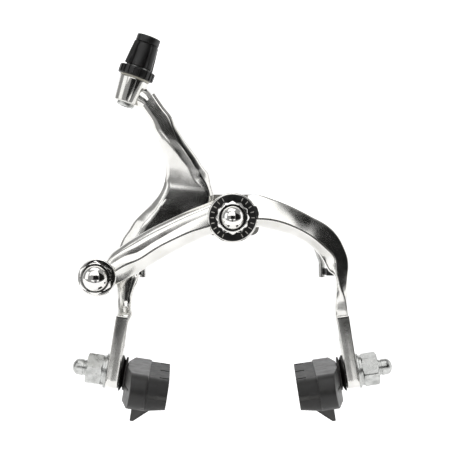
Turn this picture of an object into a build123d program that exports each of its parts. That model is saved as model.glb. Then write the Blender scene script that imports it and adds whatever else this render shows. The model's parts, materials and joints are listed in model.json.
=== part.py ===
"""Single-pivot side-pull rim brake caliper, built as its separate pieces.

Frame: the pivot axis is the Y axis, Y = 0 is the face that seats on the fork crown, -Y is the
front of the bicycle, +Z is up and +X is the right-hand side as seen from the front.
All lengths are in millimetres. Both arms are at rest, opened by their spring.
"""

from math import cos, hypot, pi, radians, sin
import os

from build123d import *

# ---------------------------------------------------------------- driving dimensions
REACH = 47.9  # pivot axis down to the shoe studs
HALF_SPAN = 36.8  # pivot axis out to the middle of each blade, at the stud
LEG_TILT = 9.0  # how far a blade leans outwards when the brake is open, degrees
LEG_TWIST = 2.5  # how far a blade turns its shoe inwards at the front, degrees

RUN_GAP = 0.05  # radial running clearance of a journal in its bush
THREAD_GAP = 0.04  # radial clearance left between a thread and its nut
SEAT_GAP = 0.02  # radial clearance of a pressed or seated piece
FACE_GAP = 0.1  # axial clearance between faces that slide on each other
SPRING_TOUCH = 0.05  # left between the spring wire and its sliders

# pivot stack, from the fork crown forwards
SPACER_LENGTH = 2.0
SPACER_R = 7.0
TOOTHED_WASHER_LENGTH = 0.8
TOOTHED_WASHER_R = 6.6
TOOTH_COUNT = 16
BLOCK_LENGTH = 6.2
BLOCK_WIDTH = 17.0
BLOCK_HEIGHT = 13.0
THRUST_LENGTH = 0.6
THRUST_RIM = 0.6  # how far a thrust washer stays inside the hub's edge
HUB_LENGTH = 6.6
HUB_R = 8.4
COVER_LENGTH = 1.7
COVER_R = 7.15
COVER_TAB_R = 8.1
COVER_TAB_WIDTH = 3.4
COVER_TAB_ANGLE = 15.6
STAR_LENGTH = 2.1
STAR_R = 5.2
STAR_NOTCH = 0.55
STAR_POINTS = 12

MOUNT_STUD_R = 3.0
SHOULDER_R = 3.5  # the bolt where it passes through the block and its washers
MOUNT_STUD_LENGTH = 26.0
JOURNAL_R = 4.0
BUSH_WALL = 1.1
FRONT_STUD_R = 2.8
FRONT_STUD_LENGTH = 5.6
STUD_CHAMFER = 0.5

PIVOT_NUT_FLATS = 8.6
PIVOT_NUT_HEX = 2.7
PIVOT_NUT_DOME_R = 3.5
PIVOT_NUT_DOME = 3.3

# arms
FILL_STEPS = 4  # sections from one station of an arm to the next
LEVER_LENGTH = 6.2  # depth of the lever, along the pivot axis
BLADE_WIDTH = 12.0
BLADE_THICK = 3.9
BLADE_END = 4.5  # stud to the blade's lower edge
BLADE_CORNER = 2.2
SLOT_TRAVEL = 9.0

ANCHOR_X = -41.2
ANCHOR_Z = -18.2
EYE_R = 5.5
ANCHOR_BOLT_R = 2.9
ANCHOR_HEAD_R = 4.3
ANCHOR_HEAD_LENGTH = 2.6
ANCHOR_WASHER_R = 5.8
ANCHOR_WASHER_LENGTH = 1.3
ANCHOR_PLATE_LENGTH = 1.5
ANCHOR_NUT_FLATS = 9.1
ANCHOR_NUT_HEX = 4.0
ANCHOR_NUT_DOME_R = 3.9
ANCHOR_NUT_DOME = 2.6
CABLE_R = 0.8  # inner cable that the anchor grips

# barrel adjuster, measured along its own axis from the bottom of the boss
BOSS_X = -33.0
BOSS_Z = 35.6
BOSS_Y = -18.0
BOSS_LEAN = 19.5  # the barrel's top leans towards +X, degrees
BOSS_LENGTH = 7.9
BOSS_R_LOW = 3.95
BOSS_R_HIGH = 4.75
SCREW_R = 2.75
SCREW_BELOW = 1.1
SCREW_BORE_R = 1.3
SEAL_LENGTH = 0.5
LOCK_RING_R = 5.6
LOCK_RING_LENGTH = 2.7
LOCK_RING_RIBS = 20
LOCK_RING_RIB = 0.3
KNOB_LENGTH = 7.6
KNOB_R_LOW = 4.05
KNOB_R_HIGH = 3.75
KNOB_LIFT = 0.5  # knob above the lock ring
WING_COUNT = 4
WING_WIDTH = 2.0
WING_R_LOW = 5.25
WING_R_HIGH = 4.25
STOP_LENGTH = 2.4
STOP_R = 3.7
STOP_SHANK_R = 3.15
STOP_SHANK = 5.5
HOUSING_R = 2.55  # socket for the end of the cable housing

# brake shoe, measured along the stud from the blade's middle plane
STUD_R = 2.5
STUD_TIP = 4.4  # stud beyond its nut
SHOE_NUT_FLATS = 9.0
SHOE_NUT_LENGTH = 5.0
FLAT_WASHER_R = 5.4
FLAT_WASHER_LENGTH = 0.8
LOCK_WASHER_R = 4.7
LOCK_WASHER_LENGTH = 0.7
DISH_R = 5.7
DISH_LENGTH = 1.0
CUP_R = 5.2
CUP_LENGTH = 0.8
HOLDER_DEPTH = 7.2
HOLDER_HEIGHT = 10.7
SHOE_LENGTH = 46.0
SHOE_DROP = 2.2  # shoe's middle below its stud
HOLDER_WALL = 1.0
HOLDER_FLAT = 7.0  # half the flat length round the stud; the back slopes from there
HOLDER_END_CUT = 2.3  # thickness lost at each end by that slope
STUD_HEAD = 1.6  # the square head inside the holder
STUD_HEAD_HALF = 4.0
PAD_DEPTH = 6.1
PAD_TOP = 4.85
PAD_BOTTOM = 5.35
PAD_TAPER = 1.2
PAD_GROOVES = 3
PAD_GROOVE_WIDTH = 1.8
PAD_GROOVE_DEPTH = 3.0
PAD_GROOVE_PITCH = 16.0
PAD_TONGUE_DEPTH = 5.0
FIN_DROP = 4.2
FIN_LENGTH = 9.0
FIN_THICK = 1.6

# return spring
WIRE_R = 1.0
SPRING_Y = -4.9  # wire's middle where it crosses the block
SPRING_Z = 3.2
SPRING_END_X = 0.775  # where a spring end bears, as a share of the half span
SPRING_END_Z = 0.355  # and as a share of the reach
SLIDER_WIDTH = 2.4
SLIDER_HEIGHT = 2.1
SLIDER_LENGTH = 7.4
SLIDER_BEHIND = 3.2  # how far a slider stands out behind the blades
LUG_SIZE = 2.7

# ---------------------------------------------------------------- worked-out places
BLOCK_REAR = -SPACER_LENGTH - TOOTHED_WASHER_LENGTH
BLOCK_FRONT = BLOCK_REAR - BLOCK_LENGTH
Y_HUB_REAR = BLOCK_FRONT - THRUST_LENGTH
Y_HUB_FRONT = Y_HUB_REAR - HUB_LENGTH
C_HUB_REAR = Y_HUB_FRONT - THRUST_LENGTH
C_HUB_FRONT = C_HUB_REAR - HUB_LENGTH
COVER_REAR = C_HUB_FRONT - THRUST_LENGTH
COVER_FRONT = COVER_REAR - COVER_LENGTH
STAR_FRONT = COVER_FRONT - STAR_LENGTH
BLADE_Y = (Y_HUB_REAR + C_HUB_FRONT) / 2
BLADE_FRONT = BLADE_Y - BLADE_WIDTH / 2
BLADE_REAR = BLADE_Y + BLADE_WIDTH / 2
LEVER_FRONT = C_HUB_REAR - LEVER_LENGTH
BUSH_R = JOURNAL_R + RUN_GAP + BUSH_WALL
THRUST_R = HUB_R - THRUST_RIM


def round_bar(radius, start, end, x=0.0, z=0.0):
    """A cylinder along Y from start to end."""
    return Pos(x, (start + end) / 2, z) * Rot(90, 0, 0) * Cylinder(radius, abs(end - start))


def ring(outer, inner, start, end, x=0.0, z=0.0):
    """A washer along Y."""
    return round_bar(outer, start, end, x, z) - round_bar(inner, start - 1, end + 1, x, z)


def hex_bar(flats, length):
    """A hexagonal bar standing on Z = 0 with a point towards +Y."""
    return extrude(RegularPolygon(flats / 2, 6, major_radius=False, rotation=30), length)


def chamfered_hex(flats, length, rise=0.45):
    """A hexagonal bar whose corners are turned off by a cone at both ends."""
    corner = flats / 2 / cos(radians(30))
    half = [(0, 0), (corner - rise * 1.6, 0), (corner, rise), (corner, length - rise)]
    half += [(corner - rise * 1.6, length), (0, length)]
    return hex_bar(flats, length) & turned(half)


def turned(points):
    """The solid that an outline of (radius, height) pairs sweeps round the Z axis."""
    outline = Polyline(*[(r, 0, h) for r, h in points], close=True)
    return revolve(make_face(outline), Axis.Z)


def facing_front(solid, y, x=0.0, z=0.0):
    """Turns a solid that stands on Z = 0 to stand on the plane at y and point to -Y."""
    return Pos(x, y, z) * Rot(90, 0, 0) * solid


def section(place, normal, half_width, front, rear, bevel):
    """An eight-sided arm section across its path: bevelled at the front, eased at the back."""
    x, z = place
    nx, nz = normal
    side, deep = bevel
    back = min(0.9, half_width * 0.35)
    corners = [
        (half_width - side, front),
        (half_width, front + deep),
        (half_width, rear - back),
        (half_width - back, rear),
        (back - half_width, rear),
        (-half_width, rear - back),
        (-half_width, front + deep),
        (side - half_width, front),
    ]
    points = [(x + nx * s, y, z + nz * s) for s, y in corners]
    return make_face(Polyline(*points, close=True))


def slopes(values, along, limited):
    """Slope of a curve through the values at each station; limited slopes never overshoot."""
    rises = [(v1 - v0) / (a1 - a0) for v0, v1, a0, a1 in zip(values, values[1:], along, along[1:])]
    inner = []
    for left, right in zip(rises, rises[1:]):
        if not limited:
            inner.append((left + right) / 2)
        elif left * right <= 0:
            inner.append(0.0)
        else:
            inner.append(2 * left * right / (left + right))
    return [rises[0], *inner, rises[-1]]


def filled_in(stations):
    """Adds stations between the given ones, on cubic curves through them."""
    along = [0.0]
    for a, b in zip(stations, stations[1:]):
        along.append(along[-1] + hypot(b[0] - a[0], b[1] - a[1]))
    columns = list(zip(*stations))
    bends = [slopes(column, along, i > 1) for i, column in enumerate(columns)]
    rows = [stations[0]]
    for k in range(len(stations) - 1):
        gap = along[k + 1] - along[k]
        for step in range(1, FILL_STEPS + 1):
            t = step / FILL_STEPS
            ends = (2 * t**3 - 3 * t**2 + 1, 3 * t**2 - 2 * t**3)
            pulls = ((t**3 - 2 * t**2 + t) * gap, (t**3 - t**2) * gap)
            rows.append(
                [
                    ends[0] * column[k]
                    + ends[1] * column[k + 1]
                    + pulls[0] * bend[k]
                    + pulls[1] * bend[k + 1]
                    for column, bend in zip(columns, bends)
                ]
            )
    return rows


def arm_branch(stations):
    """A smooth bar through stations of (x, z, half_width, front, rear, bevel)."""
    rows = filled_in([(*station[:5], *station[5]) for station in stations])
    faces = []
    for i, (x, z, half_width, front, rear, side, deep) in enumerate(rows):
        before, after = rows[max(i - 1, 0)], rows[min(i + 1, len(rows) - 1)]
        dx, dz = after[0] - before[0], after[1] - before[1]
        length = hypot(dx, dz)
        normal = (-dz / length, dx / length)
        faces.append(section((x, z), normal, half_width, front, rear, (side, deep)))
    return loft(faces, ruled=True)


def leg_plane(side):
    """The plane of a blade: origin on the stud axis, Z outwards along the stud, X down the blade."""
    tilt, twist = radians(LEG_TILT), radians(LEG_TWIST)
    outwards = (side * cos(tilt) * cos(twist), -sin(twist), sin(tilt) * cos(twist))
    down = (side * sin(tilt), 0, -cos(tilt))
    return Plane(origin=(side * HALF_SPAN, BLADE_Y, -REACH), x_dir=down, z_dir=outwards)


def boss_plane():
    """The plane at the bottom of the barrel's boss, with Z up along the barrel."""
    lean = radians(BOSS_LEAN)
    return Plane(origin=(BOSS_X, BOSS_Y, BOSS_Z), x_dir=(0, 1, 0), z_dir=(sin(lean), 0, cos(lean)))


def blade(side):
    """The flat lower end of an arm, with its slot for the shoe stud."""
    plane = leg_plane(side)
    top = -SLOT_TRAVEL - 9.0
    length = BLADE_END - top
    slab = Pos((BLADE_END + top) / 2, 0, 0) * Box(length, BLADE_WIDTH, BLADE_THICK)
    lower = slab.edges().filter_by(Axis.Z).sort_by(Axis.X)[-2:]
    slab = fillet(lower, BLADE_CORNER)
    slab = chamfer(slab.faces().sort_by(Axis.Z)[-1].edges(), 0.35)
    return plane.location * slab


def blade_slot(side):
    """The through slot that the stud is clamped in: the stud is at its lower end."""
    width = STUD_R + 0.2
    across = Pos(-SLOT_TRAVEL / 2, 0, 0) * Box(SLOT_TRAVEL, 2 * width, BLADE_THICK * 3)
    ends = Cylinder(width, BLADE_THICK * 3) + Pos(-SLOT_TRAVEL, 0, 0) * Cylinder(width, BLADE_THICK * 3)
    return leg_plane(side).location * (across + ends)


def leg_stations(side, shape):
    """Stations of a leg, with places given as shares of the half span and the reach."""
    return [(side * u * HALF_SPAN, -v * REACH, w, f, r, b) for u, v, w, f, r, b in shape]


def slider_box(side, grow=0.0):
    """The block that a spring end bears on, let into the arm's inner edge."""
    inner = SPRING_END_X * HALF_SPAN + WIRE_R + SPRING_TOUCH
    size = (SLIDER_WIDTH + 2 * grow, SLIDER_LENGTH + 2 * grow, SLIDER_HEIGHT + 2 * grow)
    middle = BLADE_REAR + SLIDER_BEHIND - SLIDER_LENGTH / 2
    return Pos(side * (inner + SLIDER_WIDTH / 2), middle, -SPRING_END_Z * REACH) * Box(*size)


def spring_lug(side):
    """The shelf under the slider."""
    inner = SPRING_END_X * HALF_SPAN + WIRE_R + 0.3
    low = -SPRING_END_Z * REACH - SLIDER_HEIGHT / 2 - LUG_SIZE / 2
    depth = SLIDER_LENGTH - SLIDER_BEHIND + 1.0
    middle = BLADE_REAR - 0.3 - depth / 2
    return Pos(side * (inner + LUG_SIZE / 2), middle, low) * Box(LUG_SIZE, depth, LUG_SIZE)


def slider_pocket(side):
    """The notch in an arm for the slider, open to the front and the back."""
    inner = SPRING_END_X * HALF_SPAN
    width = WIRE_R + SPRING_TOUCH + SLIDER_WIDTH + SEAT_GAP
    front, rear = BLADE_FRONT - 4, BLADE_REAR + 4
    height = SLIDER_HEIGHT + 2 * SEAT_GAP
    return Pos(side * (inner + width / 2), (front + rear) / 2, -SPRING_END_Z * REACH) * Box(
        width, rear - front, height
    )


def c_arm():
    """The front arm: cable lever, hub, and the leg that curves down to the right-hand shoe."""
    small, wide = (0.9, 0.7), (1.7, 1.3)
    lever_rear = C_HUB_REAR - 3 * FACE_GAP
    lever = arm_branch(
        [
            (-2.0, -0.4, 4.4, LEVER_FRONT, lever_rear, small),
            (-10.1, -1.5, 4.6, LEVER_FRONT, lever_rear, wide),
            (-20.4, -6.2, 4.9, LEVER_FRONT, lever_rear, wide),
            (-29.0, -10.9, 5.2, LEVER_FRONT, lever_rear, wide),
            (ANCHOR_X + 5.4, ANCHOR_Z + 3.4, 5.2, LEVER_FRONT, lever_rear, small),
            (ANCHOR_X + 1.0, ANCHOR_Z + 0.8, 4.6, LEVER_FRONT, lever_rear, small),
        ]
    )
    shape = [
        (0.055, -0.045, 5.0, C_HUB_FRONT + 0.2, C_HUB_REAR - 2 * FACE_GAP, small),
        (THRUST_R / HALF_SPAN, -0.042, 5.05, C_HUB_FRONT + 0.2, C_HUB_REAR - 2 * FACE_GAP, wide),
        (0.395, -0.012, 4.95, C_HUB_FRONT + 0.3, C_HUB_REAR + 2.2, wide),
        (0.583, 0.056, 4.2, C_HUB_FRONT + 0.5, BLADE_REAR - 2.0, wide),
        (0.745, 0.141, 4.25, C_HUB_FRONT + 0.7, BLADE_REAR - 0.8, wide),
        (0.855, 0.257, 4.0, BLADE_FRONT + 0.1, BLADE_REAR, wide),
        (0.885, 0.391, 3.1, BLADE_FRONT, BLADE_REAR, (1.2, 1.2)),
        (0.905, 0.526, 2.2, BLADE_FRONT, BLADE_REAR, (0.6, 0.8)),
        (0.918, 0.63, 2.0, BLADE_FRONT, BLADE_REAR, (0.4, 0.4)),
        (0.929, 0.69, 1.3, BLADE_FRONT + 0.3, BLADE_REAR - 0.3, (0.35, 0.35)),
    ]
    leg = arm_branch(leg_stations(1, shape))
    hub = round_bar(HUB_R, C_HUB_FRONT + FACE_GAP, C_HUB_REAR - FACE_GAP)
    eye = round_bar(EYE_R, LEVER_FRONT, lever_rear, ANCHOR_X, ANCHOR_Z)
    arm = hub + lever + leg + eye + blade(1) + spring_lug(1)
    arm -= round_bar(BUSH_R + SEAT_GAP, C_HUB_FRONT - 1, C_HUB_REAR + 1)
    arm -= round_bar(ANCHOR_BOLT_R + RUN_GAP, LEVER_FRONT - 1, lever_rear + 1, ANCHOR_X, ANCHOR_Z)
    return arm - slider_pocket(1) - blade_slot(1)


def y_arm():
    """The rear arm: boss for the barrel, hub, and the leg that curves down to the left-hand shoe."""
    small, wide = (0.9, 0.7), (1.8, 1.4)
    front, rear = Y_HUB_FRONT + 2 * FACE_GAP, Y_HUB_REAR - 2 * FACE_GAP
    upper = arm_branch(
        [
            (-1.5, 2.0, 5.0, front, rear, small),
            (-8.9, 8.7, 6.4, front, rear, wide),
            (-13.6, 15.5, 5.6, front - 1.0, rear, wide),
            (-16.4, 21.1, 4.4, BOSS_Y - 1.5, rear - 1.8, wide),
            (-19.7, 26.5, 3.3, BOSS_Y - 3.2, BOSS_Y + 5.5, (1.1, 1.1)),
            (-23.2, 32.0, 3.0, BOSS_Y - 3.6, BOSS_Y + 4.0, (1.0, 1.0)),
            (BOSS_X + 4.6, BOSS_Z + 1.9, 2.7, BOSS_Y - 3.4, BOSS_Y + 3.4, small),
            (BOSS_X + 2.2, BOSS_Z + 3.4, 2.4, BOSS_Y - 3.2, BOSS_Y + 3.2, small),
        ]
    )
    low_front, low_rear = front + 0.2, rear - 0.15
    shape = [
        (0.05, -0.02, 6.0, low_front, low_rear, small),
        (0.355, -0.033, 6.9, low_front, low_rear, wide),
        (0.562, 0.052, 6.3, low_front, low_rear, wide),
        (0.728, 0.147, 5.5, low_front, low_rear, wide),
        (0.836, 0.246, 4.5, low_front, low_rear, wide),
        (0.887, 0.342, 3.3, low_front, low_rear, (1.2, 1.2)),
        (0.896, 0.45, 2.35, low_front - 0.2, BLADE_REAR, (0.7, 0.8)),
        (0.898, 0.52, 2.1, low_front - 0.6, BLADE_REAR, (0.6, 0.7)),
        (0.903, 0.6, 2.05, BLADE_FRONT + 1.6, BLADE_REAR, (0.5, 0.6)),
        (0.912, 0.64, 2.0, BLADE_FRONT + 0.3, BLADE_REAR, (0.4, 0.4)),
        (0.926, 0.69, 1.3, BLADE_FRONT + 0.4, BLADE_REAR - 0.3, (0.35, 0.35)),
    ]
    leg = arm_branch(leg_stations(-1, shape))
    hub = round_bar(HUB_R, Y_HUB_FRONT + FACE_GAP, Y_HUB_REAR - FACE_GAP)
    boss = boss_plane().location * turned(
        [(0, 0), (BOSS_R_LOW - 0.4, 0), (BOSS_R_LOW, 0.4), (BOSS_R_HIGH, BOSS_LENGTH), (0, BOSS_LENGTH)]
    )
    web = arm_branch(
        [
            (-14.2, 1.0, 6.6, front + 0.4, rear - 0.3, small),
            (-15.6, 8.0, 5.4, front + 0.4, rear - 0.3, small),
            (-16.5, 15.0, 3.9, front + 0.4, rear - 0.3, small),
            (-18.6, 22.5, 3.0, front + 0.2, rear - 0.8, small),
            (-20.6, 26.5, 2.6, front - 0.6, rear - 2.4, small),
        ]
    )
    arm = hub + upper + leg + web + boss + blade(-1) + spring_lug(-1)
    arm -= round_bar(BUSH_R + SEAT_GAP, Y_HUB_FRONT - 1, Y_HUB_REAR + 1)
    thread = Pos(0, 0, BOSS_LENGTH / 2) * Cylinder(SCREW_R + THREAD_GAP, BOSS_LENGTH * 3)
    arm -= boss_plane().location * thread
    return arm - slider_pocket(-1) - blade_slot(-1)


# ---------------------------------------------------------------- pivot pieces
def pivot_bolt():
    """Threaded at the back for the fork nut, a plain journal for both arms, threaded at the front."""
    rear = MOUNT_STUD_LENGTH
    bolt = round_bar(MOUNT_STUD_R, 0, rear - STUD_CHAMFER)
    bolt += round_bar(SHOULDER_R, BLOCK_FRONT, 0)
    bolt += facing_front(
        turned([(0, 0), (MOUNT_STUD_R, 0), (MOUNT_STUD_R - STUD_CHAMFER, -STUD_CHAMFER), (0, -STUD_CHAMFER)]),
        rear - STUD_CHAMFER,
    )
    bolt += round_bar(JOURNAL_R, COVER_FRONT, BLOCK_FRONT)
    bolt += round_bar(FRONT_STUD_R, STAR_FRONT - FRONT_STUD_LENGTH + 1.2, COVER_FRONT)
    return bolt


def toothed_washer():
    """Bites the spring block and the spacer so that the block can't turn."""
    washer = ring(TOOTHED_WASHER_R, SHOULDER_R + SEAT_GAP, BLOCK_REAR, -SPACER_LENGTH)
    for i in range(TOOTH_COUNT):
        angle = 360 * i / TOOTH_COUNT
        notch = Rot(0, angle, 0) * Pos(TOOTHED_WASHER_R, -SPACER_LENGTH, 0) * Box(1.6, 4, 1.1)
        washer -= notch
    return washer


def spring_channel():
    """The groove that holds the spring wire, open at the back of the block."""
    width = 2 * (WIRE_R + SEAT_GAP)
    depth = SPRING_Y - (WIRE_R + SEAT_GAP)
    return Pos(0, (depth + BLOCK_REAR + 1) / 2, SPRING_Z + 1.6) * Box(
        BLOCK_WIDTH * 2, BLOCK_REAR + 1 - depth, width
    )


def spring_block():
    """Fixed to the bolt; carries the middle of the return spring."""
    block = Pos(0, (BLOCK_REAR + BLOCK_FRONT) / 2, 1.0) * Box(BLOCK_WIDTH, BLOCK_LENGTH, BLOCK_HEIGHT)
    block = fillet(block.edges().filter_by(Axis.Y), 2.5)
    block = chamfer(block.faces().sort_by(Axis.Y)[-1].edges(), 0.4)
    block -= round_bar(SHOULDER_R + SEAT_GAP, BLOCK_FRONT - 1, BLOCK_REAR + 1)
    return block - spring_channel()


def return_spring():
    """One bent wire: its middle lies in the block and its ends press the two arms apart."""
    z = SPRING_Z + 1.6
    x, low = SPRING_END_X * HALF_SPAN, -SPRING_END_Z * REACH
    behind = BLADE_REAR + WIRE_R + 0.9
    points = [
        (0.0, SPRING_Y, z),
        (BLOCK_WIDTH / 2 + 3.0, SPRING_Y, z),
        (x - 3.0, behind, low + 11.0),
        (x, behind, low + 3.0),
        (x, behind, low - 1.8),
    ]
    half = FilletPolyline(*points, radius=[3.0, 3.0, 3.0])
    right = sweep(Plane(origin=(0, SPRING_Y, z), z_dir=(1, 0, 0)) * Circle(WIRE_R), half)
    return right + mirror(right, Plane.YZ)


def star_washer():
    """The adjusting nut behind the cap nut, with a twelve-point edge."""
    outline = []
    for i in range(2 * STAR_POINTS):
        r = STAR_R if i % 2 == 0 else STAR_R - STAR_NOTCH
        a = pi * i / STAR_POINTS
        outline.append((r * cos(a), r * sin(a)))
    star = extrude(make_face(Polyline(*outline, close=True)), STAR_LENGTH)
    cone = turned(
        [(0, 0), (STAR_R, 0), (STAR_R, STAR_LENGTH - 0.9), (STAR_R - 0.9, STAR_LENGTH), (0, STAR_LENGTH)]
    )
    nut = (star & cone) - Cylinder(FRONT_STUD_R + THREAD_GAP, STAR_LENGTH * 4)
    return facing_front(nut, COVER_FRONT)


def cap_nut(flats, hex_length, dome_r, dome_height, bore_r, bore_depth):
    """A domed nut standing on Z = 0, with a blind threaded hole."""
    dome = turned(
        [(0, hex_length - 0.2), (dome_r, hex_length - 0.2), (dome_r, hex_length + 0.3)]
        + [
            (dome_r * cos(radians(a)), hex_length + 0.3 + (dome_height - 0.3) * sin(radians(a)))
            for a in range(15, 90, 15)
        ]
        + [(0, hex_length + dome_height)]
    )
    return chamfered_hex(flats, hex_length) + dome - Pos(0, 0, bore_depth / 2) * Cylinder(bore_r, bore_depth)


def cover_disc():
    """The dark disc between the front arm and its nuts, with one locating tab."""
    disc = ring(COVER_R, JOURNAL_R + SEAT_GAP, COVER_FRONT, COVER_REAR)
    tab = Pos(COVER_TAB_R - 1.7, 0, 0) * Box(3.4, COVER_LENGTH, COVER_TAB_WIDTH)
    tab = fillet(tab.edges().filter_by(Axis.Y).sort_by(Axis.X)[-2:], 1.1)
    tab = Rot(0, -COVER_TAB_ANGLE, 0) * Pos(0, (COVER_FRONT + COVER_REAR) / 2, 0) * tab
    return disc + (tab - round_bar(JOURNAL_R + 1.5, COVER_FRONT - 1, COVER_REAR + 1))


# ---------------------------------------------------------------- cable anchor pieces
def anchor_pieces():
    """The swivelling bolt, plate, washer and cap nut that grip the inner cable."""
    rear = C_HUB_REAR - 2 * FACE_GAP
    plate_rear = LEVER_FRONT - FACE_GAP
    plate_front = plate_rear - ANCHOR_PLATE_LENGTH
    washer_front = plate_front - ANCHOR_WASHER_LENGTH
    tip = washer_front - ANCHOR_NUT_HEX - 0.6
    bolt = round_bar(ANCHOR_BOLT_R, tip, rear, ANCHOR_X, ANCHOR_Z)
    bolt += round_bar(ANCHOR_HEAD_R, rear, rear + ANCHOR_HEAD_LENGTH, ANCHOR_X, ANCHOR_Z)
    plate = ring(EYE_R, ANCHOR_BOLT_R + SEAT_GAP, plate_front, plate_rear, ANCHOR_X, ANCHOR_Z)
    groove_x = ANCHOR_X - ANCHOR_BOLT_R - CABLE_R - 0.1
    groove = Pos(groove_x, plate_front, ANCHOR_Z) * Cylinder(CABLE_R, EYE_R * 3)
    washer = ring(ANCHOR_WASHER_R, ANCHOR_BOLT_R + SEAT_GAP, washer_front, plate_front, ANCHOR_X, ANCHOR_Z)
    nut = cap_nut(
        ANCHOR_NUT_FLATS,
        ANCHOR_NUT_HEX,
        ANCHOR_NUT_DOME_R,
        ANCHOR_NUT_DOME,
        ANCHOR_BOLT_R + THREAD_GAP,
        ANCHOR_NUT_HEX + 0.8,
    )
    return {
        "anchor_bolt": bolt,
        "anchor_plate": plate - groove,
        "anchor_washer": washer,
        "anchor_cap_nut": facing_front(nut, washer_front, ANCHOR_X, ANCHOR_Z),
    }


# ---------------------------------------------------------------- barrel adjuster pieces
def barrel_pieces():
    """The hollow screw with its winged knob, the lock ring, the seal and the housing stop."""
    place = boss_plane().location
    seal_high = BOSS_LENGTH + SEAL_LENGTH
    ring_low = seal_high + FACE_GAP
    ring_high = ring_low + LOCK_RING_LENGTH
    knob_low = ring_high + KNOB_LIFT
    knob_high = knob_low + KNOB_LENGTH
    seal = turned(
        [
            (SCREW_R + THREAD_GAP, BOSS_LENGTH),
            (BOSS_R_HIGH - 0.1, BOSS_LENGTH),
            (BOSS_R_HIGH - 0.1, seal_high),
            (SCREW_R + THREAD_GAP, seal_high),
        ]
    )
    lock = turned(
        [
            (SCREW_R + THREAD_GAP, ring_low),
            (LOCK_RING_R - 0.6, ring_low),
            (LOCK_RING_R, ring_low + 0.6),
            (LOCK_RING_R, ring_high - 0.3),
            (LOCK_RING_R - 0.3, ring_high),
            (SCREW_R + THREAD_GAP, ring_high),
        ]
    )
    for i in range(LOCK_RING_RIBS):
        rib = Rot(0, 0, 360 * i / LOCK_RING_RIBS) * Pos(LOCK_RING_R, 0, ring_low + LOCK_RING_LENGTH / 2)
        lock -= rib * Box(LOCK_RING_RIB, 0.6, LOCK_RING_LENGTH * 2)
    socket_low = knob_high - STOP_SHANK
    screw = turned(
        [
            (SCREW_BORE_R, -SCREW_BELOW),
            (SCREW_R - 0.4, -SCREW_BELOW),
            (SCREW_R, 0.4 - SCREW_BELOW),
            (SCREW_R, socket_low - 0.6),
            (SCREW_BORE_R, socket_low - 0.6),
        ]
    )
    knob = turned(
        [
            (SCREW_R + SEAT_GAP, knob_low),
            (KNOB_R_LOW, knob_low),
            (KNOB_R_HIGH, knob_high),
            (STOP_SHANK_R + RUN_GAP, knob_high),
            (STOP_SHANK_R + RUN_GAP, socket_low - 0.6),
            (SCREW_R + SEAT_GAP, socket_low - 0.6),
        ]
    )
    bore = Pos(0, 0, knob_low + KNOB_LENGTH / 2) * Cylinder(KNOB_R_HIGH - 0.5, KNOB_LENGTH * 2)
    for i in range(WING_COUNT):
        fin = Plane.XZ * make_face(
            Polyline(
                (0, knob_low),
                (WING_R_LOW - 0.3, knob_low),
                (WING_R_LOW, knob_low + 0.5),
                (WING_R_HIGH, knob_high - 0.2),
                (0, knob_high - 0.2),
                close=True,
            )
        )
        wing = extrude(fin, WING_WIDTH / 2, both=True) - bore
        knob += Rot(0, 0, 45 + 360 * i / WING_COUNT) * wing
    stop = turned(
        [
            (SCREW_BORE_R, socket_low - 0.5),
            (STOP_SHANK_R, socket_low - 0.5),
            (STOP_SHANK_R, knob_high + FACE_GAP),
            (STOP_R, knob_high + FACE_GAP),
            (STOP_R, knob_high + STOP_LENGTH - 0.3),
            (STOP_R - 0.3, knob_high + STOP_LENGTH),
            (HOUSING_R, knob_high + STOP_LENGTH),
            (HOUSING_R, socket_low + 0.6),
            (SCREW_BORE_R, socket_low + 0.6),
        ]
    )
    made = {
        "barrel_seal": seal,
        "barrel_lock_ring": lock,
        "barrel_screw": screw,
        "barrel_knob": knob,
        "housing_stop": stop,
    }
    return {name: place * solid for name, solid in made.items()}


# ---------------------------------------------------------------- brake shoe pieces
def long_block(length, top, bottom, depth, shrink=0.0):
    """A block with round ends, standing on Z = 0: X runs down, Y along the rim, Z through it."""
    radius = (top + bottom) / 2
    middle = (bottom - top) / 2
    flat = length - 2 * radius
    sketch = Pos(middle, 0) * (
        Rectangle(2 * radius, flat) + Pos(0, flat / 2) * Circle(radius) + Pos(0, -flat / 2) * Circle(radius)
    )
    if shrink:
        return extrude(sketch, depth, taper=shrink)
    return extrude(sketch, depth)


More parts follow.
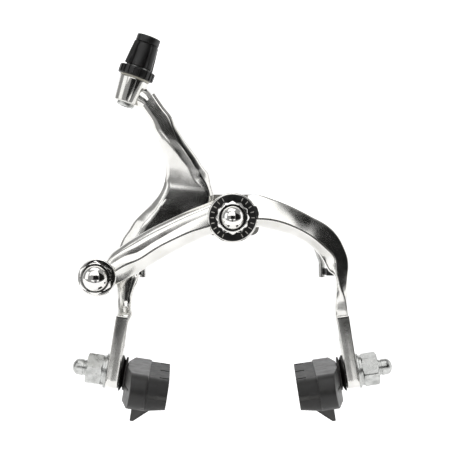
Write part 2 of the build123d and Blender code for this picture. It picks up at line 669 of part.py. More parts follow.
def shoe_pieces(side):
    """Everything that is clamped in one blade's slot, in the blade's own plane."""
    place = leg_plane(side).location
    half = BLADE_THICK / 2
    pieces = {}
    # outside the blade: lock washer, flat washer and nut on the stud
    flat_low = half + FACE_GAP
    lock_low = flat_low + FLAT_WASHER_LENGTH
    nut_low = lock_low + LOCK_WASHER_LENGTH
    nut_high = nut_low + SHOE_NUT_LENGTH
    hole = STUD_R + SEAT_GAP
    pieces["flat_washer"] = turned(
        [(hole, flat_low), (FLAT_WASHER_R, flat_low), (FLAT_WASHER_R, lock_low), (hole, lock_low)]
    )
    lock = turned([(hole, lock_low), (LOCK_WASHER_R, lock_low), (LOCK_WASHER_R, nut_low), (hole, nut_low)])
    split = Rot(0, 0, 40) * Pos(LOCK_WASHER_R, 0, lock_low) * Box(2 * LOCK_WASHER_R, 0.4, 4)
    pieces["lock_washer"] = lock - split
    nut = Pos(0, 0, nut_low) * Rot(0, 0, 12) * chamfered_hex(SHOE_NUT_FLATS, SHOE_NUT_LENGTH)
    pieces["shoe_nut"] = nut - Cylinder(STUD_R + THREAD_GAP, nut_high * 4)
    # inside the blade: a domed washer in a cup, so that the shoe can be set square to the rim
    dome_high = -half - FACE_GAP
    dome_low = dome_high - DISH_LENGTH
    cup_low = dome_low - CUP_LENGTH
    pieces["domed_washer"] = turned(
        [(hole, dome_high), (DISH_R, dome_high), (DISH_R - 0.6, dome_high - 0.5), (CUP_R - 1.2, dome_low)]
        + [(hole, dome_low)]
    )
    pieces["cupped_washer"] = turned(
        [(hole, dome_low), (CUP_R - 1.2, dome_low), (CUP_R, dome_low - 0.3)]
        + [(CUP_R, cup_low), (hole, cup_low)]
    )
    # the shoe itself: holder, rubber and stud
    holder_low = cup_low - HOLDER_DEPTH
    height = HOLDER_HEIGHT / 2
    holder = Pos(SHOE_DROP, 0, holder_low) * long_block(SHOE_LENGTH, height, height, HOLDER_DEPTH)
    holder = fillet(holder.faces().sort_by(Axis.Z)[-1].edges(), 0.5)
    tongue_half = height - HOLDER_WALL
    tongue = Pos(SHOE_DROP, 0, holder_low - 1) * long_block(
        SHOE_LENGTH - 2 * HOLDER_WALL, tongue_half, tongue_half, PAD_TONGUE_DEPTH + 1
    )
    for end in (-1, 1):
        cut = Polyline(
            (end * HOLDER_FLAT, cup_low),
            (end * (SHOE_LENGTH / 2 + 1), cup_low),
            (end * (SHOE_LENGTH / 2 + 1), cup_low - HOLDER_END_CUT),
            close=True,
        )
        holder -= extrude(Plane.YZ * make_face(cut), HOLDER_HEIGHT * 2, both=True)
    for end in (-1, 1):
        fin = Polyline(
            (SHOE_DROP + height - 1.0, cup_low - 3.4),
            (SHOE_DROP + height + FIN_DROP, cup_low - 3.4),
            (SHOE_DROP + height + FIN_DROP, cup_low - 4.4),
            (SHOE_DROP + height, holder_low),
            (SHOE_DROP + height - 1.0, holder_low),
            close=True,
        )
        plate = extrude(Plane.XZ * make_face(fin), FIN_THICK / 2, both=True)
        reach_y = end * (SHOE_LENGTH / 2 - height - FIN_LENGTH / 2)
        holder += Pos(0, reach_y, 0) * plate
    head_low = holder_low + PAD_TONGUE_DEPTH
    holder -= tongue
    holder -= Pos(0, 0, head_low + 20) * Cylinder(STUD_R + SEAT_GAP, 40)
    pieces["shoe_holder"] = holder
    stud = turned(
        [
            (0, head_low),
            (STUD_R, head_low),
            (STUD_R, nut_high + STUD_TIP - 1.6),
            (STUD_R - 0.35, nut_high + STUD_TIP - 0.7),
            (STUD_R - 1.0, nut_high + STUD_TIP - 0.2),
            (0, nut_high + STUD_TIP),
        ]
    )
    head_size = (2 * (tongue_half - SEAT_GAP), 2 * STUD_HEAD_HALF, STUD_HEAD)
    pieces["shoe_stud"] = stud + Pos(SHOE_DROP, 0, head_low - STUD_HEAD / 2) * Box(*head_size)
    pieces["brake_pad"] = brake_pad(holder_low, head_low)
    prefix = "right_" if side > 0 else "left_"
    return {prefix + name: place * solid for name, solid in pieces.items()}


def brake_pad(holder_low, head_low):
    """The rubber: a tongue inside the holder and a grooved block that meets the rim."""
    tongue_half = HOLDER_HEIGHT / 2 - HOLDER_WALL - SEAT_GAP
    tongue = Pos(SHOE_DROP, 0, holder_low) * long_block(
        SHOE_LENGTH - 2 * (HOLDER_WALL + SEAT_GAP), tongue_half, tongue_half, PAD_TONGUE_DEPTH
    )
    block = Pos(SHOE_DROP, 0, holder_low) * Rot(180, 0, 0) * long_block(
        SHOE_LENGTH - 1.0, PAD_TOP, PAD_BOTTOM, PAD_DEPTH
    )
    slope = Polyline(
        (SHOE_DROP + PAD_BOTTOM + 3, holder_low - PAD_DEPTH - 1),
        (SHOE_DROP + PAD_BOTTOM + 3, holder_low),
        (SHOE_DROP + PAD_BOTTOM, holder_low),
        (SHOE_DROP + PAD_BOTTOM - PAD_TAPER, holder_low - PAD_DEPTH - 1),
        close=True,
    )
    block -= extrude(Plane.XZ * make_face(slope), SHOE_LENGTH, both=True)
    pad = tongue + block
    for i in range(PAD_GROOVES):
        place = (i - (PAD_GROOVES - 1) / 2) * PAD_GROOVE_PITCH
        pad -= Pos(SHOE_DROP, place, holder_low - PAD_DEPTH) * Box(
            HOLDER_HEIGHT * 2, PAD_GROOVE_WIDTH, 2 * PAD_GROOVE_DEPTH
        )
    pocket = (HOLDER_HEIGHT * 2, 2 * (STUD_HEAD_HALF + SEAT_GAP), STUD_HEAD + 2 * SEAT_GAP)
    return pad - Pos(SHOE_DROP, 0, head_low - STUD_HEAD / 2) * Box(*pocket)


def pieces():
    """Every node's name and solid."""
    pivot_nut = cap_nut(
        PIVOT_NUT_FLATS,
        PIVOT_NUT_HEX,
        PIVOT_NUT_DOME_R,
        PIVOT_NUT_DOME,
        FRONT_STUD_R + THREAD_GAP,
        FRONT_STUD_LENGTH - 1.2 + 0.3,
    )
    made = {
        "pivot_bolt": pivot_bolt(),
        "crown_spacer": ring(SPACER_R, SHOULDER_R + SEAT_GAP, -SPACER_LENGTH, 0),
        "toothed_washer": toothed_washer(),
        "spring_block": spring_block(),
        "return_spring": return_spring(),
        "rear_thrust_washer": ring(THRUST_R, JOURNAL_R + SEAT_GAP, Y_HUB_REAR, BLOCK_FRONT),
        "middle_thrust_washer": ring(THRUST_R, JOURNAL_R + SEAT_GAP, C_HUB_REAR, Y_HUB_FRONT),
        "front_thrust_washer": ring(COVER_R - 0.4, JOURNAL_R + SEAT_GAP, COVER_REAR, C_HUB_FRONT),
        "cover_disc": cover_disc(),
        "star_nut": star_washer(),
        "pivot_cap_nut": facing_front(pivot_nut, STAR_FRONT),
        "c_arm": c_arm(),
        "c_arm_bush": ring(BUSH_R, JOURNAL_R + RUN_GAP, C_HUB_FRONT + FACE_GAP, C_HUB_REAR - FACE_GAP),
        "y_arm": y_arm(),
        "y_arm_bush": ring(BUSH_R, JOURNAL_R + RUN_GAP, Y_HUB_FRONT + FACE_GAP, Y_HUB_REAR - FACE_GAP),
        "right_spring_slider": slider_box(1),
        "left_spring_slider": slider_box(-1),
    }
    made.update(anchor_pieces())
    made.update(barrel_pieces())
    for side in (-1, 1):
        made.update(shoe_pieces(side))
    return made


def main():
    os.makedirs("parts", exist_ok=True)
    for name, solid in pieces().items():
        export_step(solid, f"parts/{name}.step")


main()
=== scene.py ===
"""Finished surfaces and studio for the single-pivot rim brake caliper.

Every piece is worked out in millimetres in the caliper's own frame: the pivot axis is the Y axis,
Y = 0 is the crown face, -Y is the front, +Z is up and +X is the right-hand side from the front.
"""

import json

import bmesh
import bpy
import numpy as np
from bpy.props import FloatProperty, FloatVectorProperty, IntProperty, PointerProperty
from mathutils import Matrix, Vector


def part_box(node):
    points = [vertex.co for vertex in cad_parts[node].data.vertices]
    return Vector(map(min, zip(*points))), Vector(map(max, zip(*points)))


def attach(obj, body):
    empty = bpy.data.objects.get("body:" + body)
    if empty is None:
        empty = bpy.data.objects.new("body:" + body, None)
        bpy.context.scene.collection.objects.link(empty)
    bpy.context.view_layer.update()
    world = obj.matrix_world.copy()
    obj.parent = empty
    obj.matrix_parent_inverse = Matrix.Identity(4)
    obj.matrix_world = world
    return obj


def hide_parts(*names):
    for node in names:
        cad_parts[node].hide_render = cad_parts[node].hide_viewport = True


bl_info = {
    "name": "Rim Brake Caliper",
    "version": (1, 0, 0),
    "blender": (4, 5, 0),
    "location": "View3D > Sidebar > Caliper",
    "description": "Builds the surfaces, finishes and studio of a side-pull rim brake caliper",
    "category": "Object",
}

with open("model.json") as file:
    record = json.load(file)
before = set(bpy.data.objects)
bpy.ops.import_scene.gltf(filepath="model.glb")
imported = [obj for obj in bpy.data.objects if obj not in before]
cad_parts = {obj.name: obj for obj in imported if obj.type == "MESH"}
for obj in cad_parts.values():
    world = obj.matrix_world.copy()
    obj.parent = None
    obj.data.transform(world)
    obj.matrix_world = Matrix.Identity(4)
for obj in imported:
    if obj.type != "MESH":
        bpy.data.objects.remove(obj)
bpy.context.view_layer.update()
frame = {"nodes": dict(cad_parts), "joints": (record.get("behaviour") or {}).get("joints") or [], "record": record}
MM = 0.001


# ---------------------------------------------------------------- places read from the frame
def node_box(node):
    """Lowest and highest corner of a CAD node, in millimetres."""
    low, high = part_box(node)
    return np.array(low) / MM, np.array(high) / MM


def joint_named(name):
    return next(j for j in frame["joints"] if j["name"] == name)


def mount_named(name):
    return next(m for m in frame["record"]["mounts"] if m["name"] == name)


HUB_FRONT = node_box("c_arm_bush")[0][1]
HUB_REAR = node_box("c_arm_bush")[1][1]
REAR_HUB_FRONT = node_box("y_arm_bush")[0][1]
REAR_HUB_REAR = node_box("y_arm_bush")[1][1]
COVER_FRONT, COVER_REAR = node_box("cover_disc")[0][1], node_box("cover_disc")[1][1]
STAR_FRONT = node_box("star_nut")[0][1]
ANCHOR = np.array(joint_named("anchor_swivel")["pos_m"]) / MM
BARREL_FOOT = np.array(joint_named("barrel_turn")["pos_m"]) / MM
BARREL_AXIS = np.array(joint_named("barrel_turn")["axis"])
EYE_FRONT, EYE_REAR = ANCHOR[1], node_box("anchor_bolt")[1][1] - 2.6
SLOT_TRAVEL = joint_named("right_shoe_height")["range_m"][1] / MM + 0.5
SLOT_R = 2.7
BLADE_HALF = 1.95
SIDES = {-1: "left", 1: "right"}


def leg_axes(side):
    """Where a shoe's stud crosses its blade, the way out along the stud and the way down the slot."""
    out = -np.array(mount_named(SIDES[side] + "_braking_face")["axis"])
    down = -np.array(joint_named(SIDES[side] + "_shoe_height")["axis"])
    washer = np.mean(node_box(SIDES[side] + "_flat_washer"), axis=0)
    return washer - (BLADE_HALF + 0.5) * out, out, down


def on_leg(side, points):
    """Points of (down the slot, along the rim, out along the stud) carried to the frame."""
    return placed(points, *leg_axes(side))


# ---------------------------------------------------------------- surfaces on two parameters
def through(stations, steps):
    """A smooth curve through each column of stations: cubic Hermite pieces whose slopes are the
    central differences over the distance run by the middle of the section."""
    count = len(stations)
    middle = stations.reshape(count, -1, stations.shape[-1]).mean(1)
    along = np.concatenate([[0], np.cumsum(np.linalg.norm(np.diff(middle, axis=0), axis=1))])
    slope = np.gradient(stations, along, axis=0)
    s = np.linspace(0, count - 1, (count - 1) * steps + 1)
    k = np.minimum(s.astype(int), count - 2)
    shape = (-1,) + (1,) * (stations.ndim - 1)
    u = (s - k).reshape(shape)
    gap = (along[k + 1] - along[k]).reshape(shape)
    near = (2 * u**3 - 3 * u**2 + 1) * stations[k] + (u**3 - 2 * u**2 + u) * gap * slope[k]
    far = (3 * u**2 - 2 * u**3) * stations[k + 1] + (u**3 - u**2) * gap * slope[k + 1]
    return near + far


def eased_corners(polygons, radii, bend):
    """Closed polygons with their corners eased: corner k becomes a quadratic arc that starts and
    ends radii[k] away along its two edges, or 0.45 of an edge if that is less."""
    radii = np.asarray(radii, float).reshape(1, -1, 1)
    ends = []
    for turn in (1, -1):
        edge = np.roll(polygons, turn, axis=1) - polygons
        length = np.linalg.norm(edge, axis=2, keepdims=True) + 1e-9
        ends.append(polygons + edge / length * np.minimum(radii, 0.45 * length))
    t = np.linspace(0, 1, bend).reshape(1, 1, -1, 1)
    corner = polygons[:, :, None]
    arcs = (1 - t) ** 2 * ends[0][:, :, None] + 2 * t * (1 - t) * corner + t**2 * ends[1][:, :, None]
    return arcs.reshape(len(polygons), -1, polygons.shape[2])


def eased_outline(points, radius, bend=5):
    """One closed outline of (across, height) points with every corner eased by the same radius."""
    points = np.array([points], float)
    return eased_corners(points, np.full(points.shape[1], radius), bend)[0]


def dense(outline, longest):
    """The same closed outline with extra points, none further apart than longest."""
    pieces = []
    for a, b in zip(outline, np.roll(outline, -1, axis=0)):
        count = max(1, int(np.ceil(np.linalg.norm(b - a) / longest)))
        pieces.append(a + (b - a) * np.linspace(0, 1, count, endpoint=False)[:, None])
    return np.concatenate(pieces)


def turned(outline, segments=96, limit=None, stretch=0.0):
    """A closed outline of (radius, height) swept round the Z axis: x = r cos a, y = r sin a.
    limit(a) cuts r off at each angle, so a flat-sided or notched edge appears on the turned form.
    stretch pulls the two halves apart along Y, which gives a form with round ends."""
    angle = np.linspace(0, 2 * np.pi, segments, endpoint=False)
    shift = np.sign(np.sin(angle) + 1e-12) * stretch / 2
    if stretch:
        half = segments // 2
        angle = np.concatenate([np.linspace(0, np.pi, half), np.linspace(np.pi, 2 * np.pi, half)])
        shift = np.repeat([stretch / 2, -stretch / 2], half)
    r = np.broadcast_to(outline[:, 0], (len(angle), len(outline)))
    if limit is not None:
        r = np.minimum(r, limit(angle)[:, None])
    x, y = r * np.cos(angle)[:, None], r * np.sin(angle)[:, None] + shift[:, None]
    return np.stack([x, y, np.broadcast_to(outline[:, 1], r.shape)], -1)


def flats(across, sides=6, start=0.0):
    """Distance to the edge of a regular polygon at each angle: half the width over cos(a)."""
    step = 2 * np.pi / sides
    return lambda a: across / 2 / np.cos((a - start + step / 2) % step - step / 2)


def placed(points, origin, z_axis, x_axis):
    """Points of a piece's own axes carried to the caliper's frame."""
    z = np.asarray(z_axis, float) / np.linalg.norm(z_axis)
    x = np.asarray(x_axis, float) - z * np.dot(x_axis, z)
    x /= np.linalg.norm(x)
    return np.asarray(origin, float) + points @ np.stack([x, np.cross(z, x), z])


def to_front(points, y, x=0.0, z=0.0):
    """A piece that stands on its own Z = 0 put on the plane at y, pointing to the front."""
    return placed(points, (x, y, z), (0, -1, 0), (1, 0, 0))


def grid_faces(rows, columns, wrap_rows, wrap_columns):
    """Quads of a grid of points, row by row, closed in either direction where asked."""
    i, j = np.meshgrid(
        np.arange(rows if wrap_rows else rows - 1),
        np.arange(columns if wrap_columns else columns - 1),
        indexing="ij",
    )
    i2, j2 = (i + 1) % rows, (j + 1) % columns
    quads = [i * columns + j, i2 * columns + j, i2 * columns + j2, i * columns + j2]
    return np.stack(quads, -1).reshape(-1, 4)


def mesh_piece(name, surfaces, material, body, cad_nodes=(), sharp=32.0):
    """Joins closed surfaces into one piece. Each is (points, wrap_rows), a grid whose columns
    close on themselves; rows that don't close are capped by a fan to the end row's middle."""
    points, faces, base = [], [], 0
    for grid, wrap_rows in surfaces:
        rows, columns = grid.shape[:2]
        points.append(grid.reshape(-1, 3))
        quads = grid_faces(rows, columns, wrap_rows, True) + base
        faces.extend(quads.tolist())
        if not wrap_rows:
            for row in (0, rows - 1):
                points.append(grid[row].mean(0)[None])
            j = np.arange(columns)
            for row, middle in ((0, base + rows * columns), (rows - 1, base + rows * columns + 1)):
                start = base + row * columns
                fan = np.stack([np.full(columns, middle), start + j, start + (j + 1) % columns], -1)
                faces.extend(fan.tolist())
            base += 2
        base += rows * columns
    mesh = bpy.data.meshes.new(name)
    mesh.from_pydata(np.concatenate(points) * MM, [], faces)
    settle(mesh, sharp)
    return finish_piece(bpy.data.objects.new(name, mesh), material, body, cad_nodes)


def settle(mesh, sharp):
    """Closes seams and poles, turns every face outwards and marks the crisp edges."""
    bm = bmesh.new()
    bm.from_mesh(mesh)
    bmesh.ops.remove_doubles(bm, verts=bm.verts, dist=4e-6)
    bmesh.ops.dissolve_degenerate(bm, edges=bm.edges, dist=1e-7)
    bmesh.ops.recalc_face_normals(bm, faces=bm.faces)
    bm.to_mesh(mesh)
    bm.free()
    mesh.shade_smooth()
    mesh.set_sharp_from_angle(angle=np.radians(sharp))


def finish_piece(piece, material, body, cad_nodes=()):
    """Puts a piece in the scene on its body, in place of its CAD nodes."""
    bpy.context.scene.collection.objects.link(piece)
    piece.data.materials.append(material)
    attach(piece, body)
    if cad_nodes:
        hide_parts(*cad_nodes)
    return piece


# ---------------------------------------------------------------- finishes
def linear(hex_colour):
    """An sRGB hex colour turned to the linear values that shaders take."""
    srgb = np.array([int(hex_colour[i : i + 2], 16) for i in (1, 3, 5)]) / 255
    low, high = srgb / 12.92, ((srgb + 0.055) / 1.055) ** 2.4
    return (*np.where(srgb <= 0.04045, low, high).tolist(), 1.0)


def add(tree, kind, links=None, **settings):
    """Adds one node, sets its properties and input values, and links its inputs."""
    node = tree.nodes.new(kind)
    for key, value in settings.items():
        if hasattr(node, key):
            setattr(node, key, value)
        else:
            node.inputs[key.replace("_", " ")].default_value = value
    for socket, source in (links or {}).items():
        tree.links.new(source, node.inputs[socket])
    return node


def finish(name, light, dark, metallic, rough, grain, depth, mottle, wear=None):
    """A solid material whose colour runs from dark to light in soft patches mottle mm across,
    whose roughness runs between the two values of rough with them, and whose surface has a
    grain of grain mm raised by depth mm. wear is a lighter colour for rubbed outer corners."""
    if name in bpy.data.materials:
        return bpy.data.materials[name]
    material = bpy.data.materials.new(name)
    material.use_nodes = True
    tree = material.node_tree
    tree.nodes.clear()
    place = add(tree, "ShaderNodeTexCoord").outputs["Object"]
    patches = add(tree, "ShaderNodeTexNoise", {"Vector": place}, Scale=1 / (mottle * MM), Detail=4.0)
    grains = add(tree, "ShaderNodeTexNoise", {"Vector": place}, Scale=1 / (grain * MM), Detail=2.0)
    spread = add(tree, "ShaderNodeMapRange", {"Value": patches.outputs[0]})
    spread.inputs["From Min"].default_value, spread.inputs["From Max"].default_value = 0.35, 0.65
    tone = add(tree, "ShaderNodeMix", {"Factor": spread.outputs[0]}, data_type="RGBA")
    tone.inputs[6].default_value, tone.inputs[7].default_value = dark, light
    colour = tone.outputs[2]
    if wear:
        corner = add(tree, "ShaderNodeNewGeometry").outputs["Pointiness"]
        rubbed = add(tree, "ShaderNodeMapRange", {"Value": corner})
        rubbed.inputs["From Min"].default_value, rubbed.inputs["From Max"].default_value = 0.53, 0.62
        mix = add(tree, "ShaderNodeMix", {"Factor": rubbed.outputs[0], 6: colour}, data_type="RGBA")
        mix.inputs[7].default_value = wear
        colour = mix.outputs[2]
    gloss = add(tree, "ShaderNodeMapRange", {"Value": patches.outputs[0]})
    gloss.inputs["From Min"].default_value, gloss.inputs["From Max"].default_value = 0.3, 0.7
    gloss.inputs["To Min"].default_value, gloss.inputs["To Max"].default_value = rough
    bump = add(tree, "ShaderNodeBump", {"Height": grains.outputs[0]}, Strength=0.6, Distance=depth * MM)
    links = {"Base Color": colour, "Roughness": gloss.outputs[0], "Normal": bump.outputs[0]}
    shader = add(tree, "ShaderNodeBsdfPrincipled", links, Metallic=metallic)
    add(tree, "ShaderNodeOutputMaterial", {"Surface": shader.outputs[0]})
    return material


def polished_aluminium(colour):
    # forged 6061 arm, buffed and anodised clear: near-mirror with a faint ripple left by the wheel
    return finish(
        "polished_forged_aluminium", (*colour, 1.0), linear("#DBDAD6"),
        1.0, (0.12, 0.2), 0.9, 0.0035, 5.0
    )


def cast_aluminium():
    # die-cast block left as tumbled: pale grey, matt, with a coarse skin
    return finish(
        "tumbled_cast_aluminium", linear("#B9B8B4"), linear("#9C9B97"),
        1.0, (0.38, 0.5), 0.35, 0.02, 3.0
    )


def chrome():
    # bright nickel-chrome on turned steel nuts: a mirror, faintly warm
    return finish(
        "nickel_chrome_plate", linear("#F0EFEC"), linear("#E4E3E0"),
        1.0, (0.05, 0.1), 1.6, 0.0015, 4.0
    )


def zinc_steel():
    # clear zinc on cold-headed steel: soft grey shine with cloudy patches
    return finish(
        "bright_zinc_plated_steel", linear("#CFD0CE"), linear("#ABACAA"),
        1.0, (0.22, 0.36), 0.4, 0.006, 2.0
    )


def spring_steel():
    # plated music wire, drawn, so it shines more than the zinc
    return finish(
        "plated_spring_wire", linear("#D6D6D4"), linear("#B4B4B2"),
        1.0, (0.2, 0.3), 0.3, 0.004, 3.0
    )


def dark_steel():
    # blackened pressed-steel washers: dull, with the black thin on the corners
    return finish(
        "blackened_steel", linear("#3C3B39"), linear("#242322"),
        0.75, (0.4, 0.55), 0.25, 0.01, 1.5, linear("#6D6C69")
    )


def black_acetal():
    # moulded black acetal, slightly glossy, with a fine mould skin
    return finish(
        "moulded_black_acetal", linear("#161515"), linear("#0C0C0C"),
        0.0, (0.3, 0.42), 0.25, 0.008, 3.0, linear("#2B2B2A")
    )


def holder_nylon(colour):
    # glass-filled nylon carrier: dark grey, satin, grainy, paler where it is scuffed
    return finish(
        "glass_filled_nylon", (*colour, 1.0), linear("#171616"),
        0.0, (0.36, 0.5), 0.3, 0.02, 2.5, linear("#4A4947")
    )


def bearing_nylon():
    # natural self-lubricating nylon: off-white and waxy
    return finish(
        "natural_bearing_nylon", linear("#D9D5C8"), linear("#C9C4B5"),
        0.0, (0.35, 0.45), 0.3, 0.006, 2.0
    )


def brake_rubber(colour):
    # filled moulded rubber: dull charcoal with a dusty bloom
    return finish(
        "moulded_brake_rubber", (*colour, 1.0), linear("#131212"),
        0.0, (0.5, 0.66), 0.3, 0.03, 1.8, linear("#444341")
    )


def marking_paint():
    # printed pale marks on the disc, a little worn
    return finish(
        "printed_pale_marks", linear("#D8D6D0"), linear("#A5A39D"),
        0.0, (0.5, 0.6), 0.2, 0.005, 0.5
    )


# ---------------------------------------------------------------- the two arms
# Each row is one cross-section of an arm, as (X, Y, Z) corners in order round it.
LEVER = np.array([
    ((-39.6, -20.5, -14.3), (-39.5, -22.3, -14.8), (-39.3, -22.6, -15.5), (-39.3, -23.3, -18.7),
     (-39.8, -20.8, -21.8), (-40.2, -17.1, -21.8), (-39.9, -17.1, -14.7)),
    ((-37.4, -20.5, -11.0), (-37.1, -22.3, -12.1), (-36.6, -22.6, -13.9), (-36.5, -23.3, -16.9),
     (-36.3, -20.8, -20.9), (-36.7, -17.1, -20.7), (-37.7, -17.1, -11.5)),
    ((-34.6, -20.5, -8.9), (-34.2, -22.3, -10.1), (-33.5, -22.6, -12.0), (-33.3, -23.3, -14.9),
     (-32.6, -20.8, -19.0), (-33.0, -17.1, -18.8), (-34.9, -17.1, -9.3)),
    ((-30.6, -20.5, -6.3), (-30.0, -22.3, -8.0), (-29.1, -22.6, -10.6), (-28.6, -23.3, -12.9),
     (-27.2, -20.8, -16.0), (-27.6, -17.1, -15.8), (-30.8, -17.1, -6.7)),
    ((-25.4, -20.5, -3.3), (-24.8, -22.3, -5.0), (-24.0, -22.6, -7.5), (-22.8, -23.3, -9.2),
     (-21.4, -20.8, -12.4), (-21.7, -17.1, -12.2), (-25.5, -17.1, -3.6)),
    ((-19.6, -20.5, -0.5), (-19.3, -22.3, -2.1), (-18.8, -22.6, -4.5), (-17.6, -23.3, -6.6),
     (-16.2, -20.8, -9.5), (-16.4, -17.1, -9.2), (-19.7, -17.1, -0.8)),
    ((-14.0, -20.5, 2.1), (-13.8, -22.3, 0.6), (-13.6, -22.6, -1.7), (-12.7, -23.3, -4.5),
     (-11.5, -20.8, -7.3), (-11.7, -17.1, -7.1), (-14.0, -17.1, 1.8)),
    ((-8.1, -20.5, 4.5), (-8.1, -22.3, 3.0), (-8.1, -22.6, 0.8), (-7.5, -23.3, -3.0),
     (-6.6, -20.8, -5.3), (-6.7, -17.1, -5.0), (-8.1, -17.1, 4.2)),
    ((-5.7, -20.5, 5.5), (-5.7, -22.3, 4.0), (-5.7, -22.6, 1.8), (-5.7, -23.3, -2.5),
     (-5.4, -20.8, -4.9), (-5.4, -17.1, -4.6), (-5.7, -17.1, 5.2)),
])
LEVER_CORNERS = (0.8, 3.0, 0.25, 0.6, 1.3, 0.6, 0.6)
ARCH = np.array([
    ((4.7, -21.4, 7.0), (4.7, -23.3, -0.9), (4.8, -20.5, -3.4), (4.8, -17.0, -3.2),
     (4.8, -17.0, 6.9)),
    ((7.3, -21.4, 7.2), (7.3, -23.3, -0.7), (7.4, -20.5, -2.9), (7.5, -17.0, -2.7),
     (7.5, -17.0, 7.1)),
    ((12.5, -21.4, 5.7), (12.0, -23.3, -0.9), (11.8, -20.5, -3.6), (12.0, -16.6, -3.4),
     (12.7, -16.6, 5.7)),
    ((16.7, -21.4, 4.1), (15.7, -23.2, -1.8), (14.9, -20.5, -4.3), (15.2, -15.2, -4.2),
     (17.0, -15.2, 4.1)),
    ((21.2, -21.4, 2.0), (19.0, -23.2, -3.1), (18.0, -20.5, -5.2), (18.4, -14.0, -5.1),
     (21.6, -14.0, 1.9)),
    ((24.4, -21.4, 0.3), (22.0, -23.1, -4.6), (20.8, -20.5, -6.5), (21.3, -13.0, -6.4),
     (25.0, -13.0, 0.2)),
    ((28.5, -21.4, -1.9), (24.9, -23.1, -6.5), (23.2, -20.5, -8.0), (24.0, -12.2, -8.0),
     (29.2, -12.2, -2.0)),
    ((32.0, -21.4, -5.1), (28.2, -23.0, -9.3), (25.8, -20.5, -10.3), (26.7, -11.6, -10.4),
     (32.9, -11.6, -5.3)),
    ((34.1, -21.4, -8.7), (30.7, -22.9, -11.6), (27.7, -20.5, -12.9), (28.6, -11.2, -13.1),
     (35.1, -11.2, -9.0)),
    ((35.4, -21.3, -12.2), (31.6, -22.8, -13.5), (28.7, -20.6, -14.8), (29.8, -10.9, -15.1),
     (36.4, -10.9, -12.6)),
    ((35.7, -21.2, -15.3), (31.5, -22.7, -15.7), (29.7, -20.7, -16.5), (30.7, -10.6, -16.9),
     (36.8, -10.6, -15.7)),
    ((35.6, -21.1, -17.2), (31.8, -22.6, -17.6), (31.2, -21.6, -17.7), (32.4, -10.6, -18.2),
     (36.7, -10.6, -17.7)),
    ((35.4, -21.0, -19.3), (32.3, -22.5, -19.3), (31.6, -21.4, -19.4), (32.8, -10.6, -19.9),
     (36.5, -10.6, -19.8)),
    ((35.3, -20.9, -22.1), (33.3, -22.5, -22.1), (31.6, -21.0, -22.1), (32.7, -10.6, -22.8),
     (36.3, -10.6, -22.8)),
    ((35.1, -21.3, -25.2), (34.6, -22.4, -25.1), (31.6, -20.4, -25.3), (32.7, -10.6, -25.9),
     (36.2, -10.6, -25.9)),
    ((35.3, -21.8, -28.2), (35.1, -22.4, -28.2), (31.5, -20.2, -28.7), (32.6, -10.6, -29.4),
     (36.5, -10.6, -29.1)),
    ((35.6, -21.9, -30.2), (35.4, -22.3, -30.3), (31.7, -20.2, -30.8), (32.8, -10.6, -31.6),
     (36.8, -10.6, -31.2)),
    ((36.1, -22.1, -33.0), (35.8, -22.3, -33.0), (32.2, -21.8, -33.2), (32.4, -10.8, -33.4),
     (36.3, -10.8, -33.2)),
])
ARCH_CORNERS = (0.45, 0.7, 1.0, 0.5, 0.5)
